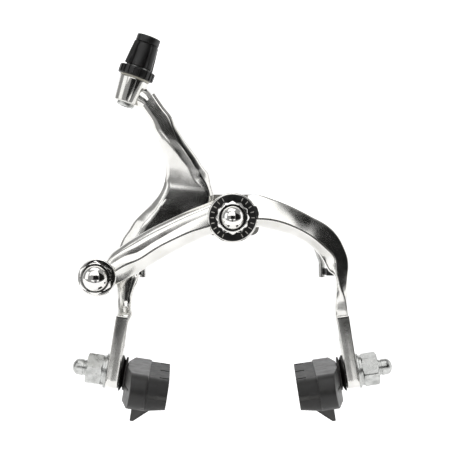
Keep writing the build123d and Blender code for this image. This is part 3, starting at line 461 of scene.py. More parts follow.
HORN = np.array([
    ((-27.9, -19.6, 34.2), (-27.7, -20.9, 34.2), (-26.9, -21.2, 35.0), (-24.6, -21.2, 37.9),
     (-24.0, -20.5, 38.6), (-24.5, -14.5, 39.0), (-28.1, -14.5, 35.0)),
    ((-26.4, -19.6, 31.5), (-25.8, -20.9, 31.6), (-24.9, -21.2, 32.1), (-21.7, -21.2, 33.6),
     (-20.9, -20.5, 34.1), (-21.4, -14.5, 34.5), (-26.5, -14.5, 32.1)),
    ((-25.0, -19.6, 29.5), (-24.5, -20.9, 29.6), (-23.5, -21.2, 30.1), (-19.7, -21.2, 31.0),
     (-18.6, -20.5, 31.2), (-19.1, -14.5, 31.6), (-25.0, -14.5, 30.0)),
    ((-24.1, -19.6, 27.1), (-23.7, -20.8, 27.2), (-22.1, -21.2, 27.3), (-18.4, -21.2, 28.0),
     (-17.3, -20.2, 28.4), (-17.9, -14.5, 28.8), (-24.1, -14.5, 27.6)),
    ((-23.0, -19.1, 24.2), (-22.6, -20.2, 24.3), (-20.4, -20.9, 24.3), (-17.4, -20.9, 24.9),
     (-15.3, -19.7, 25.0), (-15.8, -13.5, 25.6), (-22.9, -13.5, 24.7)),
    ((-21.9, -18.3, 21.1), (-21.3, -19.3, 21.1), (-18.2, -20.2, 21.1), (-15.3, -20.2, 21.7),
     (-13.1, -18.8, 21.9), (-13.6, -12.2, 22.5), (-21.7, -12.2, 21.5)),
    ((-21.1, -17.3, 18.0), (-20.3, -18.3, 18.0), (-15.9, -19.2, 17.9), (-13.2, -19.2, 18.6),
     (-10.9, -17.7, 18.9), (-11.3, -11.2, 19.4), (-20.8, -11.2, 18.4)),
    ((-20.8, -16.3, 15.0), (-19.8, -17.3, 14.7), (-13.4, -18.1, 14.7), (-11.2, -18.1, 15.4),
     (-8.9, -16.5, 15.8), (-9.4, -10.4, 16.3), (-20.4, -10.4, 15.3)),
    ((-21.1, -15.4, 12.5), (-19.9, -16.4, 11.5), (-11.3, -17.0, 11.2), (-9.8, -17.0, 13.1),
     (-7.2, -14.8, 13.9), (-7.9, -10.0, 14.1), (-20.7, -10.0, 12.8)),
    ((-21.8, -14.5, 9.9), (-20.4, -16.0, 8.8), (-8.6, -16.4, 8.7), (-7.8, -16.4, 9.9),
     (-6.5, -14.4, 10.7), (-7.3, -9.9, 10.9), (-21.5, -9.9, 10.1)),
    ((-23.0, -14.1, 7.5), (-21.9, -15.9, 5.9), (-7.6, -16.14, 5.6), (-7.0, -16.14, 6.2),
     (-5.6, -14.2, 7.0), (-6.4, -9.9, 7.4), (-22.8, -9.9, 7.6)),
    ((-25.4, -13.95, 4.4), (-23.7, -16.12, 2.9), (-9.8, -16.12, 1.4), (-9.2, -16.12, 1.4),
     (-8.0, -14.6, 1.2), (-8.1, -9.9, 1.2), (-25.7, -9.9, 4.5)),
])
HORN_CORNERS = (0.6, 0.9, 0.7, 0.45, 1.4, 0.7, 0.7)
LEFT_LIMB = np.array([
    ((-22.6, -13.6, 7.2), (-21.6, -16.0, 5.9), (-7.2, -16.0, 4.5), (-5.6, -14.4, 4.3),
     (-5.6, -10.1, 4.4), (-22.9, -10.1, 7.3)),
    ((-25.5, -13.9, 4.3), (-23.7, -16.1, 2.8), (-9.5, -16.1, 1.1), (-8.0, -14.6, 1.0),
     (-8.0, -9.9, 1.0), (-25.8, -9.9, 4.4)),
    ((-28.7, -13.9, 1.3), (-26.0, -16.1, -0.3), (-10.9, -16.1, -4.8), (-9.2, -14.6, -5.3),
     (-9.3, -9.9, -5.3), (-29.0, -9.9, 1.3)),
    ((-30.9, -13.9, -1.1), (-27.9, -16.1, -2.5), (-16.1, -16.1, -8.1), (-14.8, -14.6, -8.7),
     (-15.0, -9.9, -8.8), (-31.2, -9.9, -1.1)),
    ((-32.4, -13.9, -3.6), (-29.1, -16.1, -5.0), (-20.4, -16.1, -10.6), (-19.5, -14.6, -11.2),
     (-19.8, -9.9, -11.4), (-32.8, -9.9, -3.6)),
    ((-34.6, -13.9, -6.9), (-30.7, -16.1, -7.8), (-24.8, -16.1, -13.1), (-24.2, -14.6, -13.8),
     (-24.5, -9.9, -13.9), (-35.0, -9.9, -6.9)),
    ((-35.9, -13.9, -10.6), (-33.2, -16.1, -11.2), (-27.6, -16.1, -15.1), (-27.1, -14.6, -15.6),
     (-27.4, -9.9, -15.8), (-36.3, -9.9, -10.7)),
    ((-36.2, -13.9, -15.7), (-33.8, -16.1, -15.6), (-29.6, -16.1, -17.3), (-29.3, -14.6, -17.5),
     (-29.6, -9.9, -17.7), (-36.6, -9.9, -15.8)),
    ((-36.7, -14.7, -18.8), (-34.4, -16.1, -18.7), (-30.8, -16.1, -18.7), (-29.0, -14.9, -18.7),
     (-29.9, -10.3, -19.0), (-36.7, -10.3, -19.0)),
    ((-36.2, -15.1, -22.5), (-34.6, -16.5, -22.4), (-31.7, -16.5, -22.4), (-30.5, -15.3, -22.5),
     (-31.4, -10.3, -22.8), (-36.3, -10.3, -22.8)),
    ((-35.9, -16.1, -27.7), (-34.5, -17.5, -27.6), (-32.3, -17.5, -27.6), (-31.4, -16.3, -27.7),
     (-32.4, -10.3, -28.2), (-36.0, -10.3, -28.2)),
    ((-35.8, -19.1, -30.0), (-34.5, -20.5, -29.9), (-32.0, -20.5, -29.9), (-30.9, -19.3, -30.0),
     (-32.1, -10.3, -30.7), (-36.3, -10.3, -30.7)),
    ((-36.3, -21.6, -33.0), (-35.6, -22.3, -33.0), (-33.0, -22.3, -33.0), (-32.3, -21.6, -33.0),
     (-32.4, -10.8, -33.3), (-36.6, -10.8, -33.3)),
])
LIMB_CORNERS = (1.0, 1.3, 1.2, 0.9, 0.8, 0.8)
NECK = np.array([
    ((-28.9, -18.2, 41.6), (-29.8, -20.8, 40.2), (-31.6, -20.9, 37.0), (-32.6, -18.0, 34.8),
     (-31.6, -15.0, 36.8), (-29.6, -15.2, 40.4)),
    ((-27.1, -18.0, 40.8), (-27.9, -20.7, 39.4), (-29.7, -20.8, 36.2), (-30.6, -18.0, 34.3),
     (-29.6, -15.2, 36.2), (-27.7, -15.4, 39.5)),
    ((-25.3, -18.0, 39.4), (-26.0, -20.7, 38.1), (-27.9, -20.9, 35.2), (-28.7, -18.2, 33.7),
     (-27.9, -15.2, 35.2), (-25.9, -15.3, 38.1)),
    ((-23.9, -18.0, 37.2), (-24.5, -20.6, 36.2), (-26.2, -20.9, 33.9), (-27.0, -18.5, 32.6),
     (-26.1, -15.2, 33.8), (-24.4, -15.2, 36.1)),
])
NECK_CORNERS = (1.4, 1.6, 1.6, 1.4, 1.4, 1.4)


def branch(rows, corners, steps=7, bend=5):
    """A limb's skin: its corners run through the rows as smooth curves, then each is eased."""
    return eased_corners(through(rows, steps), corners, bend), False


def hub_ring(front, rear, outer=7.7, inner=5.2, edge=0.9):
    """The ring round the pivot: a rectangle of (radius, height) with eased corners, turned."""
    ring = eased_outline([(inner, 0), (outer, 0), (outer, rear - front), (inner, rear - front)], edge)
    return to_front(turned(ring, 144), rear), True


def slotted_blade(side, top=18.0, end=4.5, half_width=6.0, half_thick=BLADE_HALF, edge=0.4):
    """The flat blade: every point of its outline is joined to the nearest point of the slot by a
    wall of rectangular section with eased corners. The slot is all points 2.7 mm from a line."""
    corners = [(-top, -half_width), (end, -half_width), (end, half_width), (-top, half_width)]
    outline = dense(eased_corners(np.array([corners], float), (0.3, 2.4, 2.4, 0.3), 9)[0], 0.5)
    core = np.stack([np.clip(outline[:, 0], -SLOT_TRAVEL, 0), np.zeros(len(outline))], -1)
    away = outline - core
    length = np.linalg.norm(away, axis=1, keepdims=True)
    away /= length
    turns = np.linspace(0, np.pi / 2, 4)
    ease = edge * np.stack([1 - np.cos(turns), 1 - np.sin(turns)], -1)
    out = [(0, half_thick - b, a) for a, b in ease] + [(1, half_thick - b, -a) for a, b in ease[::-1]]
    loop = out + [(f, -h, a) for f, h, a in out[::-1]]
    columns = []
    for from_slot, height, shift in loop:
        r = np.where(from_slot, SLOT_R - shift, length[:, 0] - shift)[:, None]
        columns.append(np.concatenate([core + away * r, np.full((len(core), 1), height)], 1))
    return on_leg(side, np.stack(columns, 1)), True


def front_arm(material):
    """The cable lever, hub, arch and right-hand blade, forged in one."""
    eye = eased_outline([(0, 0), (5.5, 0), (5.5, EYE_REAR - EYE_FRONT), (0, EYE_REAR - EYE_FRONT)], 0.6)
    eye = to_front(turned(eye, 96), EYE_REAR, ANCHOR[0], ANCHOR[2])
    surfaces = [
        branch(LEVER, LEVER_CORNERS),
        branch(ARCH, ARCH_CORNERS),
        hub_ring(HUB_FRONT, HUB_REAR),
        (eye, True),
        slotted_blade(1),
    ]
    return mesh_piece("front_arm_forging", surfaces, material, "front_arm", ["c_arm"], 40)


def rear_arm(material):
    """The boss for the barrel, horn, hub and the left-hand limb and blade, forged in one."""
    boss = eased_outline([(2.9, 0), (3.95, 0), (4.75, 7.9), (2.9, 7.9)], 0.45)
    boss = placed(turned(boss, 96), BARREL_FOOT, BARREL_AXIS, (1, 0, 0))
    surfaces = [
        branch(HORN, HORN_CORNERS),
        branch(LEFT_LIMB, LIMB_CORNERS),
        branch(NECK, NECK_CORNERS),
        hub_ring(REAR_HUB_FRONT, REAR_HUB_REAR),
        (boss, True),
        slotted_blade(-1),
    ]
    return mesh_piece("rear_arm_forging", surfaces, material, "rear_arm", ["y_arm"], 40)


# ---------------------------------------------------------------- pivot and anchor pieces
def cap_nut_skin(across, hexagon, dome_radius, dome_height, bore, segments=144):
    """A domed nut standing on Z = 0: the outline of a cone-cornered bar and an elliptic dome is
    turned, and the flats cut its radius off at across / 2 / cos(angle from the nearest flat)."""
    corner = across / 2 / np.cos(np.pi / 6)
    rise = 0.42
    turn = np.radians(np.linspace(8, 90, 12))
    body = [(bore, 0), (corner - 1.7 * rise, 0), (corner, rise), (corner, hexagon - rise)]
    body += [(corner - 1.9 * rise, hexagon), (dome_radius + 0.1, hexagon + 0.02)]
    body += [(dome_radius, hexagon + 0.25)]
    rise_dome = dome_height - 0.25
    body += [(dome_radius * np.cos(a), hexagon + 0.25 + rise_dome * np.sin(a)) for a in turn]
    body += [(0, 0.6), (bore, 0.6)]
    return turned(dense(np.array(body, float), 0.22), segments, flats(across))


def toothed_edge(radius, notch, points, round_off=0.12):
    """Distance to a pointed edge at each angle: radius at a point, less notch half-way between,
    with the points rounded off."""
    def limit(angle):
        wave = np.abs((angle * points / (2 * np.pi)) % 1 - 0.5) * 2
        return radius - notch * (1 - np.minimum(wave, 1 - round_off))
    return limit


def star_skin():
    """The twelve-pointed locking nut: a bevelled disc whose radius follows the pointed edge."""
    outline = [(2.9, 0), (5.15, 0), (5.15, 1.3), (4.45, 2.05), (2.9, 2.05)]
    return turned(dense(eased_outline(outline, 0.15), 0.2), 288, toothed_edge(5.2, 0.62, 12))


DISC_R, DISC_BORE = 7.15, 4.0
TAB_REACH, TAB_HALF, TAB_ROOT, TAB_TURN = 8.05, 1.7, 5.0, 15.6
MARK_INNER, MARK_HALF, MARK_RISE = 5.65, 0.13, 0.05
MARK_ARCS = ((118, 242), (-62, 62))


def ticks(count, length, first, last):
    """Short printed strokes laid out like a dial on the disc, as thin four-sided slips."""
    strokes = []
    for angle in np.radians(np.linspace(first, last, count)):
        across = np.array([[-MARK_HALF, 0], [MARK_HALF, 0], [MARK_HALF, MARK_RISE], [-MARK_HALF, MARK_RISE]])
        way = np.array([np.cos(angle), np.sin(angle), 0])
        side = np.array([-np.sin(angle), np.cos(angle), 0])
        rows = []
        for r in (MARK_INNER, MARK_INNER + length):
            rows.append(way * r + across[:, :1] * side + across[:, 1:] * np.array([0, 0, 1]))
        strokes.append((to_front(np.array(rows), COVER_FRONT), False))
    return strokes


def cover_skin():
    """The black disc, turned, with its locating tab as a rounded slip let into its edge."""
    thick = COVER_REAR - COVER_FRONT
    disc = eased_outline([(DISC_BORE, 0), (DISC_R, 0), (DISC_R, thick), (DISC_BORE, thick)], 0.3)
    ends = [(TAB_ROOT, -TAB_HALF), (TAB_REACH, -TAB_HALF), (TAB_REACH, TAB_HALF), (TAB_ROOT, TAB_HALF)]
    tab = dense(eased_outline(ends, 1.0), 0.6)
    turn = np.radians(TAB_TURN)
    tab = tab @ np.array([[np.cos(turn), np.sin(turn)], [-np.sin(turn), np.cos(turn)]])
    rows = [np.concatenate([tab, np.full((len(tab), 1), h)], 1) for h in (0.02, thick - 0.02)]
    return [(to_front(turned(disc, 160), COVER_REAR), True), (to_front(np.array(rows), COVER_REAR), False)]


def pivot_pieces(look, chrome_finish, black, paint):
    mesh_piece("pivot_cover_disc", cover_skin(), black, "mount", ["cover_disc"])
    strokes = [ticks(look.mark_count, look.mark_length / MM, *arc) for arc in MARK_ARCS]
    marks = strokes[0] + strokes[1]
    mesh_piece("cover_disc_marks", marks, paint, "mount", ())
    star = [(to_front(star_skin(), COVER_FRONT), True)]
    mesh_piece("pivot_star_nut", star, chrome_finish, "mount", ["star_nut"], 28)
    nut = cap_nut_skin(8.6, 3.2, 3.3, 2.8, 2.6)
    nut = [(to_front(nut, STAR_FRONT), True)]
    mesh_piece("pivot_domed_nut", nut, chrome_finish, "mount", ["pivot_cap_nut"], 28)


def anchor_pieces(chrome_finish):
    x, z = ANCHOR[0], ANCHOR[2]
    front, rear = node_box("anchor_washer")[0][1], node_box("anchor_washer")[1][1]
    washer = eased_outline([(3.0, 0), (5.8, 0), (5.8, rear - front), (3.0, rear - front)], 0.4)
    washer = [(to_front(turned(washer, 128), rear, x, z), True)]
    mesh_piece("anchor_flange_washer", washer, chrome_finish, "cable_anchor", ["anchor_washer"])
    nut = [(to_front(cap_nut_skin(9.1, 4.0, 3.7, 2.6, 3.05), front, x, z), True)]
    mesh_piece("anchor_domed_nut", nut, chrome_finish, "cable_anchor", ["anchor_cap_nut"], 28)


# ---------------------------------------------------------------- barrel adjuster
def on_barrel(points):
    return placed(points, BARREL_FOOT, BARREL_AXIS, (1, 0, 0))


# heights above the foot of the boss
RING_LOW, RING_HIGH = 8.5, 11.2
KNOB_LOW, KNOB_HIGH = 11.7, 19.2
STOP_ROOT, STOP_LOW, STOP_HIGH = 16.0, 19.0, 21.62
BARREL_BORE, RING_R, RING_RIBS, RING_RIB = 2.9, 5.6, 20, 0.32
HOUSING_R, STOP_NECK_R, STOP_R = 2.55, 3.1, 3.7


def winged_knob(low=KNOB_LOW, high=KNOB_HIGH, segments=240):
    """A tapered grip with four wings. At each angle a the wing reaches half its width over
    |sin(a - wing)|, and the skin is the larger of that, held to the wing's height, and the core."""
    sides = np.linspace(low + 0.5, high - 0.5, 12)
    heights = np.concatenate([[low, low, low + 0.15], sides, [high - 0.1, high, high]])
    share = (heights - low) / (high - low)
    core = 4.05 - 0.3 * share
    wing = 5.2 - 0.95 * share
    core[[0, -1]], wing[[0, -1]] = BARREL_BORE, BARREL_BORE
    core[1] -= 0.12
    wing[1] -= 0.35
    wing[-2] -= 0.4
    core[-2] -= 0.12
    angle = np.linspace(0, 2 * np.pi, segments, endpoint=False)
    near = (angle - np.pi / 4 + np.pi / 4) % (np.pi / 2) - np.pi / 4
    reach = 1.0 / np.maximum(np.abs(np.sin(near)), 0.05)
    r = np.maximum(core, np.minimum(wing, reach[:, None]))
    heights = np.broadcast_to(heights, r.shape)
    grid = np.stack([r * np.cos(angle)[:, None], r * np.sin(angle)[:, None], heights], -1)
    hole = [BARREL_BORE * np.cos(angle), BARREL_BORE * np.sin(angle), np.full(segments, (low + high) / 2)]
    hole = np.stack(hole, -1)
    return np.concatenate([grid, hole[:, None]], 1)


def barrel_pieces(black):
    def ribbed(angle):
        return RING_R - RING_RIB * (np.cos(RING_RIBS * angle) > 0.35)

    ring = [(BARREL_BORE, RING_LOW), (RING_R, RING_LOW), (RING_R, RING_HIGH), (BARREL_BORE, RING_HIGH)]
    ring = turned(dense(eased_outline(ring, 0.4), 0.4), 320, ribbed)
    stop = [(HOUSING_R, STOP_LOW), (STOP_NECK_R, STOP_LOW), (STOP_NECK_R, STOP_LOW + 0.35)]
    stop += [(STOP_R, STOP_LOW + 0.4), (STOP_R, STOP_HIGH), (HOUSING_R, STOP_HIGH)]
    stop = eased_outline(stop, 0.22)
    shank = [(HOUSING_R, 21.5), (HOUSING_R, STOP_ROOT), (STOP_NECK_R, STOP_ROOT)]
    stop = turned(np.concatenate([stop[:-5], shank]), 128)
    for name, skin, body, node, sharp in (
        ("ribbed_lock_ring", ring, "lock_ring", "barrel_lock_ring", 28),
        ("winged_barrel_knob", winged_knob(), "barrel", "barrel_knob", 28),
        ("cable_housing_stop", stop, "rear_arm", "housing_stop", 32),
    ):
        mesh_piece(name, [(on_barrel(skin), True)], black, body, [node], sharp)


# ---------------------------------------------------------------- brake shoes
def stadium(profile, length, radius, segments=128):
    """A block with round ends: the profile of (radius, height) swept round a long oval."""
    return turned(profile, segments, None, length - 2 * radius)


SHOE_DROP, SHOE_LENGTH, HOLDER_R = 2.2, 46.0, 5.35
HOLDER_TOP, HOLDER_LOW, PAD_LOW = -3.85, -11.05, -17.15
HOLDER_FLAT, END_CUT = 7.0, 2.3
FIN_TOP, FIN_LOW, FIN_DROP, FIN_HALF = -7.25, -13.0, 4.2, 0.8
PAD_TOP, PAD_BOTTOM = SHOE_DROP - 4.85, SHOE_DROP + 5.35
PAD_MIDDLE, PAD_R, PAD_TAPER = (PAD_TOP + PAD_BOTTOM) / 2, 5.1, 1.2
PAD_END = 22.5
GROOVE_PITCH, GROOVE_WIDTH, GROOVE_DEPTH = 16.0, 1.8, 3.0


def rubber_slice(start, stop, low, high, edge=0.25, steps=9):
    """A slice of the rubber between two places along the rim and two depths. Each cross-section
    runs from the block's upper side to its lower side, which rises as it nears the rim; both
    draw in as sqrt(R^2 - past^2) past the straight part, which rounds the block's ends."""
    sections = []
    for y in start + (stop - start) * (1 - np.cos(np.linspace(0, np.pi, steps))) / 2:
        past = max(abs(y) - (PAD_END - PAD_R), 0)
        half = np.sqrt(max(PAD_R**2 - past**2, 0.6))
        loop = []
        for depth in (low, high):
            rise = PAD_TAPER * (HOLDER_LOW - depth) / (HOLDER_LOW - PAD_LOW) * half / PAD_R
            loop.append([(PAD_MIDDLE - half, y, depth), (PAD_MIDDLE + half - rise, y, depth)])
        sections.append([loop[0][0], loop[0][1], loop[1][1], loop[1][0]])
    return eased_corners(np.array(sections, float), (0.02, 0.02, edge, edge), 4)


def pad_surfaces(side):
    """The rubber block: a base and the slices that its cross grooves leave standing on it."""
    floor = PAD_LOW + GROOVE_DEPTH
    pieces = [rubber_slice(-PAD_END, PAD_END, HOLDER_LOW + 0.1, floor, 0.02, 41)]
    cuts = [k * GROOVE_PITCH for k in (-1, 0, 1)]
    starts = [-PAD_END] + [c + GROOVE_WIDTH / 2 for c in cuts]
    stops = [c - GROOVE_WIDTH / 2 for c in cuts] + [PAD_END]
    pieces += [rubber_slice(a, b, floor + 0.02, PAD_LOW, 0.25, 17) for a, b in zip(starts, stops)]
    return [(on_leg(side, piece), False) for piece in pieces]


def holder_surfaces(side):
    """The carrier: a round-ended block whose back is flat round the stud and then slopes to
    either end (depth lost = END_CUT * share of the way), and two three-cornered fins below."""
    wall = [(0, HOLDER_TOP), (HOLDER_R, HOLDER_TOP), (HOLDER_R, HOLDER_LOW), (0, HOLDER_LOW)]
    wall = dense(eased_outline(wall, 0.5), 0.9)
    body = stadium(wall, SHOE_LENGTH, HOLDER_R, 160)
    straight = SHOE_LENGTH / 2 - HOLDER_R
    fill = np.linspace(straight, -straight, 40)[1:-1]
    half = len(body) // 2
    first, last = body[half - 1], body[0]
    left = np.repeat(first[None], len(fill), 0)
    left[..., 1] = fill[:, None]
    right = np.repeat(last[None], len(fill), 0)
    right[..., 1] = fill[::-1, None]
    body = np.concatenate([body[:half], left, body[half:], right])
    way = np.clip((np.abs(body[..., 1]) - HOLDER_FLAT) / (SHOE_LENGTH / 2 - HOLDER_FLAT), 0, 1)
    share = (body[..., 2] - HOLDER_LOW) / (HOLDER_TOP - HOLDER_LOW)
    body[..., 2] -= END_CUT * way * share
    surfaces = [(on_leg(side, body + np.array([SHOE_DROP, 0, 0])), True)]
    foot = SHOE_DROP + HOLDER_R
    tip = foot + FIN_DROP
    fin = [(foot - 1.0, FIN_TOP), (tip, FIN_TOP), (tip, FIN_TOP - 1.0)]
    fin += [(foot, FIN_LOW), (foot - 1.0, FIN_LOW)]
    fin = eased_outline(fin, 0.3)
    for end in (-1, 1):
        middle = end * (SHOE_LENGTH / 2 - HOLDER_R - 4.5)
        places = (middle - FIN_HALF, middle + FIN_HALF)
        rows = [np.stack([fin[:, 0], np.full(len(fin), y), fin[:, 1]], -1) for y in places]
        surfaces.append((on_leg(side, np.array(rows)), False))
    return surfaces


WASHER_BORE, STUD_R, STUD_DOME = 2.6, 2.5, 1.95
STUD_INNER, STUD_NECK_R, STUD_OUTER = -6.0, 2.3, 11.0


def washer_skin(rim):
    """A washer whose rim runs through points of (radius, height out along the stud)."""
    outline = [(WASHER_BORE, rim[0][1]), *rim, (WASHER_BORE, rim[-1][1])]
    return turned(eased_outline(outline, 0.18), 112)


def shoe_pieces(side, nylon, rubber, dark, zinc):
    """One shoe: its carrier, rubber, washers, nut and stud."""
    name = SIDES[side] + "_"
    stud = [(0, STUD_INNER), (STUD_R, STUD_INNER), (STUD_R, 9.0), (STUD_NECK_R, 9.1), (STUD_NECK_R, 9.5)]
    stud += [(STUD_R, 9.6), (STUD_R, STUD_OUTER)]
    turns = np.radians(np.linspace(12, 90, 9))
    stud += [(STUD_R * np.cos(a), STUD_OUTER + STUD_DOME * np.sin(a)) for a in turns]
    plain = washer_skin([(5.4, 2.05), (5.4, 2.85)])
    convex = washer_skin([(5.7, -2.05), (5.3, -2.55), (4.1, -3.05)])
    concave = washer_skin([(4.2, -3.07), (5.2, -3.3), (5.2, -3.84)])
    turned_skins = (
        ("plain_washer", plain, zinc, "flat_washer", "zinc_steel", 32),
        ("convex_washer", convex, dark, "domed_washer", "dark_steel", 32),
        ("concave_washer", concave, dark, "cupped_washer", "dark_steel", 32),
        ("hexagon_nut", hex_nut_skin(9.0, 3.56, 8.55, 2.55, 12), zinc, "shoe_nut", "chrome", 28),
        ("domed_stud", turned(np.array(stud), 96), zinc, "shoe_stud", "zinc_steel", 32),
    )
    pieces = [
        ("pad_holder", holder_surfaces(side), nylon, "shoe_holder", "holder_plastic", 35),
        ("rubber_block", pad_surfaces(side), rubber, "brake_pad", "pad_rubber", 35),
    ]
    pieces += [(piece, [(on_leg(side, skin), True)], *rest) for piece, skin, *rest in turned_skins]
    for piece, surfaces, material, node, slot, sharp in pieces:
        mesh_piece(name + piece, surfaces, material, name + "shoe", [name + node], sharp)


def hex_nut_skin(across, low, high, bore, start, segments=144):
    """A nut: a ring with coned corners, turned, its radius cut off by the six flats."""
    corner, rise = across / 2 / np.cos(np.pi / 6), 0.42
    ring = [(bore, low), (corner - 1.7 * rise, low), (corner, low + rise), (corner, high - rise)]
    ring += [(corner - 1.7 * rise, high), (bore + 0.35, high), (bore, high - 0.3)]
    return turned(dense(np.array(ring, float), 0.25), segments, flats(across, 6, np.radians(start)))


# ---------------------------------------------------------------- CAD nodes kept as they are
def finish_kept_nodes():
    """Gives every CAD node that is still shown the finish of what it is made of."""
    zinc = ("pivot_bolt", "crown_spacer", "toothed_washer", "anchor_bolt", "anchor_plate", "barrel_screw")
    zinc += ("left_lock_washer", "right_lock_washer")
    nylon = ("rear_thrust_washer", "middle_thrust_washer", "front_thrust_washer")
    nylon += ("c_arm_bush", "y_arm_bush", "barrel_seal")
    for material, names in (
        (zinc_steel(), zinc),
        (cast_aluminium(), ("spring_block",)),
        (spring_steel(), ("return_spring",)),
        (bearing_nylon(), nylon),
        (black_acetal(), ("right_spring_slider", "left_spring_slider")),
    ):
        for name in names:
            node = frame["nodes"][name]
            node.data.materials.clear()
            node.data.materials.append(material)


# ---------------------------------------------------------------- studio
def stage_material(name, hex_colour, glow):
    """A matt sheet; glow adds light of its own, as a sheet lit from behind has."""
    material = bpy.data.materials.new(name)
    material.use_nodes = True
    tree = material.node_tree
    tree.nodes.clear()
    shader = add(tree, "ShaderNodeBsdfPrincipled", Roughness=1.0)
    shader.inputs["Base Color"].default_value = linear(hex_colour)
    shader.inputs["Emission Color"].default_value = linear(hex_colour)
    shader.inputs["Emission Strength"].default_value = glow
    add(tree, "ShaderNodeOutputMaterial", {"Surface": shader.outputs[0]})
    return material


def stage_sheet(name, rows, material):
    """A sheet through rows of points in millimetres, smoothed across the rows."""
    grid = np.array(rows, float)
    mesh = bpy.data.meshes.new(name)
    faces = grid_faces(grid.shape[0], grid.shape[1], False, False)
    mesh.from_pydata(grid.reshape(-1, 3) * MM, [], faces.tolist())
    mesh.shade_smooth()
    sheet = bpy.data.objects.new(name, mesh)
    bpy.context.scene.collection.objects.link(sheet)
    mesh.materials.append(material)
    return sheet


def reflector(name, corners, material):
    """A card that only reflections see."""
    (x0, z0), (x1, z1), y = corners
    card = stage_sheet(name, [[(x0, y, z0), (x1, y, z0)], [(x0, y, z1), (x1, y, z1)]], material)
    card.visible_camera = False
    card.visible_diffuse = False
    card.visible_shadow = False
    return card


def area_light(name, place, target, size, power):
    lamp = bpy.data.lights.new(name, "AREA")
    lamp.shape = "RECTANGLE"
    lamp.size, lamp.size_y, lamp.energy = size[0] * MM, size[1] * MM, power
    light = bpy.data.objects.new(name, lamp)
    bpy.context.scene.collection.objects.link(light)
    way = Vector(target) - Vector(place)
    light.rotation_euler = way.to_track_quat("-Z", "Y").to_euler()
    light.location = Vector(place) * MM
    return light


SWEEP_FRONT, SWEEP_FLOOR, SWEEP_R, SWEEP_HALF = -140.0, -75.0, 180, 1100
CARDS_Y = -500


def build_studio(settings):
    """Paper sweep, the cards that the polished faces mirror, and three soft boxes."""
    world = bpy.data.worlds.new("studio_white")
    bpy.context.scene.world = world
    world.use_nodes = True
    tree = world.node_tree
    sky = tree.nodes["Background"]
    camera_ray = add(tree, "ShaderNodeLightPath").outputs["Is Camera Ray"]
    seen = add(tree, "ShaderNodeMapRange", {"Value": camera_ray})
    seen.inputs["To Min"].default_value, seen.inputs["To Max"].default_value = settings.sky, 1.0
    tree.links.new(seen.outputs[0], sky.inputs["Strength"])
    sky.inputs["Color"].default_value = (1, 1, 1, 1)
    paper = stage_material("white_paper_sweep", "#FFFFFF", settings.paper_glow)
    turn = np.radians(np.linspace(0, 90, 13))
    curve = [(520 + SWEEP_R * np.sin(a), SWEEP_FLOOR + SWEEP_R * (1 - np.cos(a))) for a in turn]
    run = [(SWEEP_FRONT, SWEEP_FLOOR), *curve, (700.0, 900.0)]
    stage_sheet("paper_sweep", [[(-SWEEP_HALF, y, z), (SWEEP_HALF, y, z)] for y, z in run], paper)
    black = stage_material("black_card", "#050505", 0.0)
    white = stage_material("lit_card", "#FFFFFF", 0.8)
    for name, *corners, material in (
        ("black_card_by_camera", (-135, -92), (150, 122), black),
        ("black_card_low", (-75, -330), (30, -185), black),
        ("black_card_right", (190, -190), (1500, 430), black),
        ("lit_card_above", (-420, 150), (185, 560), white),
        ("lit_card_left", (-260, -175), (-85, -108), white),
        ("lit_card_right", (60, -175), (185, -108), white),
    ):
        reflector(name, (*corners, CARDS_Y), material)
    area_light("top_soft_box", (-60, -120, 420), (0, -10, 0), (420, 320), settings.top_power)
    area_light("left_soft_box", (-420, -220, 120), (0, -10, 0), (260, 380), settings.side_power)
    area_light("right_soft_box", (460, 60, 120), (0, -10, 0), (260, 380), settings.side_power)


def build_camera(settings):
    """A camera straight in front of the caliper, looking along +Y."""
    data = bpy.data.cameras.new("front_camera")
    data.lens = settings.lens
    data.sensor_width = 36
    data.clip_start, data.clip_end = 0.01, 10
    camera = bpy.data.objects.new("front_camera", data)
    bpy.context.scene.collection.objects.link(camera)
    camera.location = Vector(settings.camera_place)
    camera.rotation_euler = (np.pi / 2, 0, 0)
    bpy.context.scene.camera = camera
    bpy.context.scene.view_settings.view_transform = "Standard"


# ---------------------------------------------------------------- add-on
class CaliperStudio(bpy.types.PropertyGroup):
    """Sizes and strengths of the studio."""

    lens: FloatProperty(name="Lens", description="Focal length of the camera", default=88.0, unit="CAMERA")
    camera_place: FloatVectorProperty(
        name="Camera place",
        description="Where the camera stands",
        default=(-0.0023, -0.359, -0.0022),
        subtype="TRANSLATION",
        unit="LENGTH",
    )
    sky: FloatProperty(
        name="Sky", description="Strength of the surroundings in reflections", default=0.33, min=0
    )
    paper_glow: FloatProperty(
        name="Paper glow", description="Light given by the sweep itself", default=0.55, min=0
    )
    top_power: FloatProperty(
        name="Top light", description="Power of the top soft box", default=0.6, unit="POWER"
    )
    side_power: FloatProperty(
        name="Side lights", description="Power of each side soft box", default=0.3, unit="POWER"
    )


class CaliperLook(bpy.types.PropertyGroup):
    """Colours of the main materials, and the printed marks."""

    alloy: FloatVectorProperty(
        name="Alloy",
        description="Colour of the forged arms",
        default=linear("#EEEDEA")[:3],
        subtype="COLOR",
    )
    holder: FloatVectorProperty(
        name="Pad holder",
        description="Colour of the shoes' carriers",
        default=linear("#232221")[:3],
        subtype="COLOR",
    )
    rubber: FloatVectorProperty(
        name="Rubber",
        description="Colour of the brake blocks",
        default=linear("#1E1D1C")[:3],
        subtype="COLOR",
    )
    mark_count: IntProperty(
        name="Marks", description="Printed marks on each side of the disc", default=9, min=2
    )
    mark_length: FloatProperty(
        name="Mark length", description="Length of a printed mark", default=0.00105, unit="LENGTH"
    )


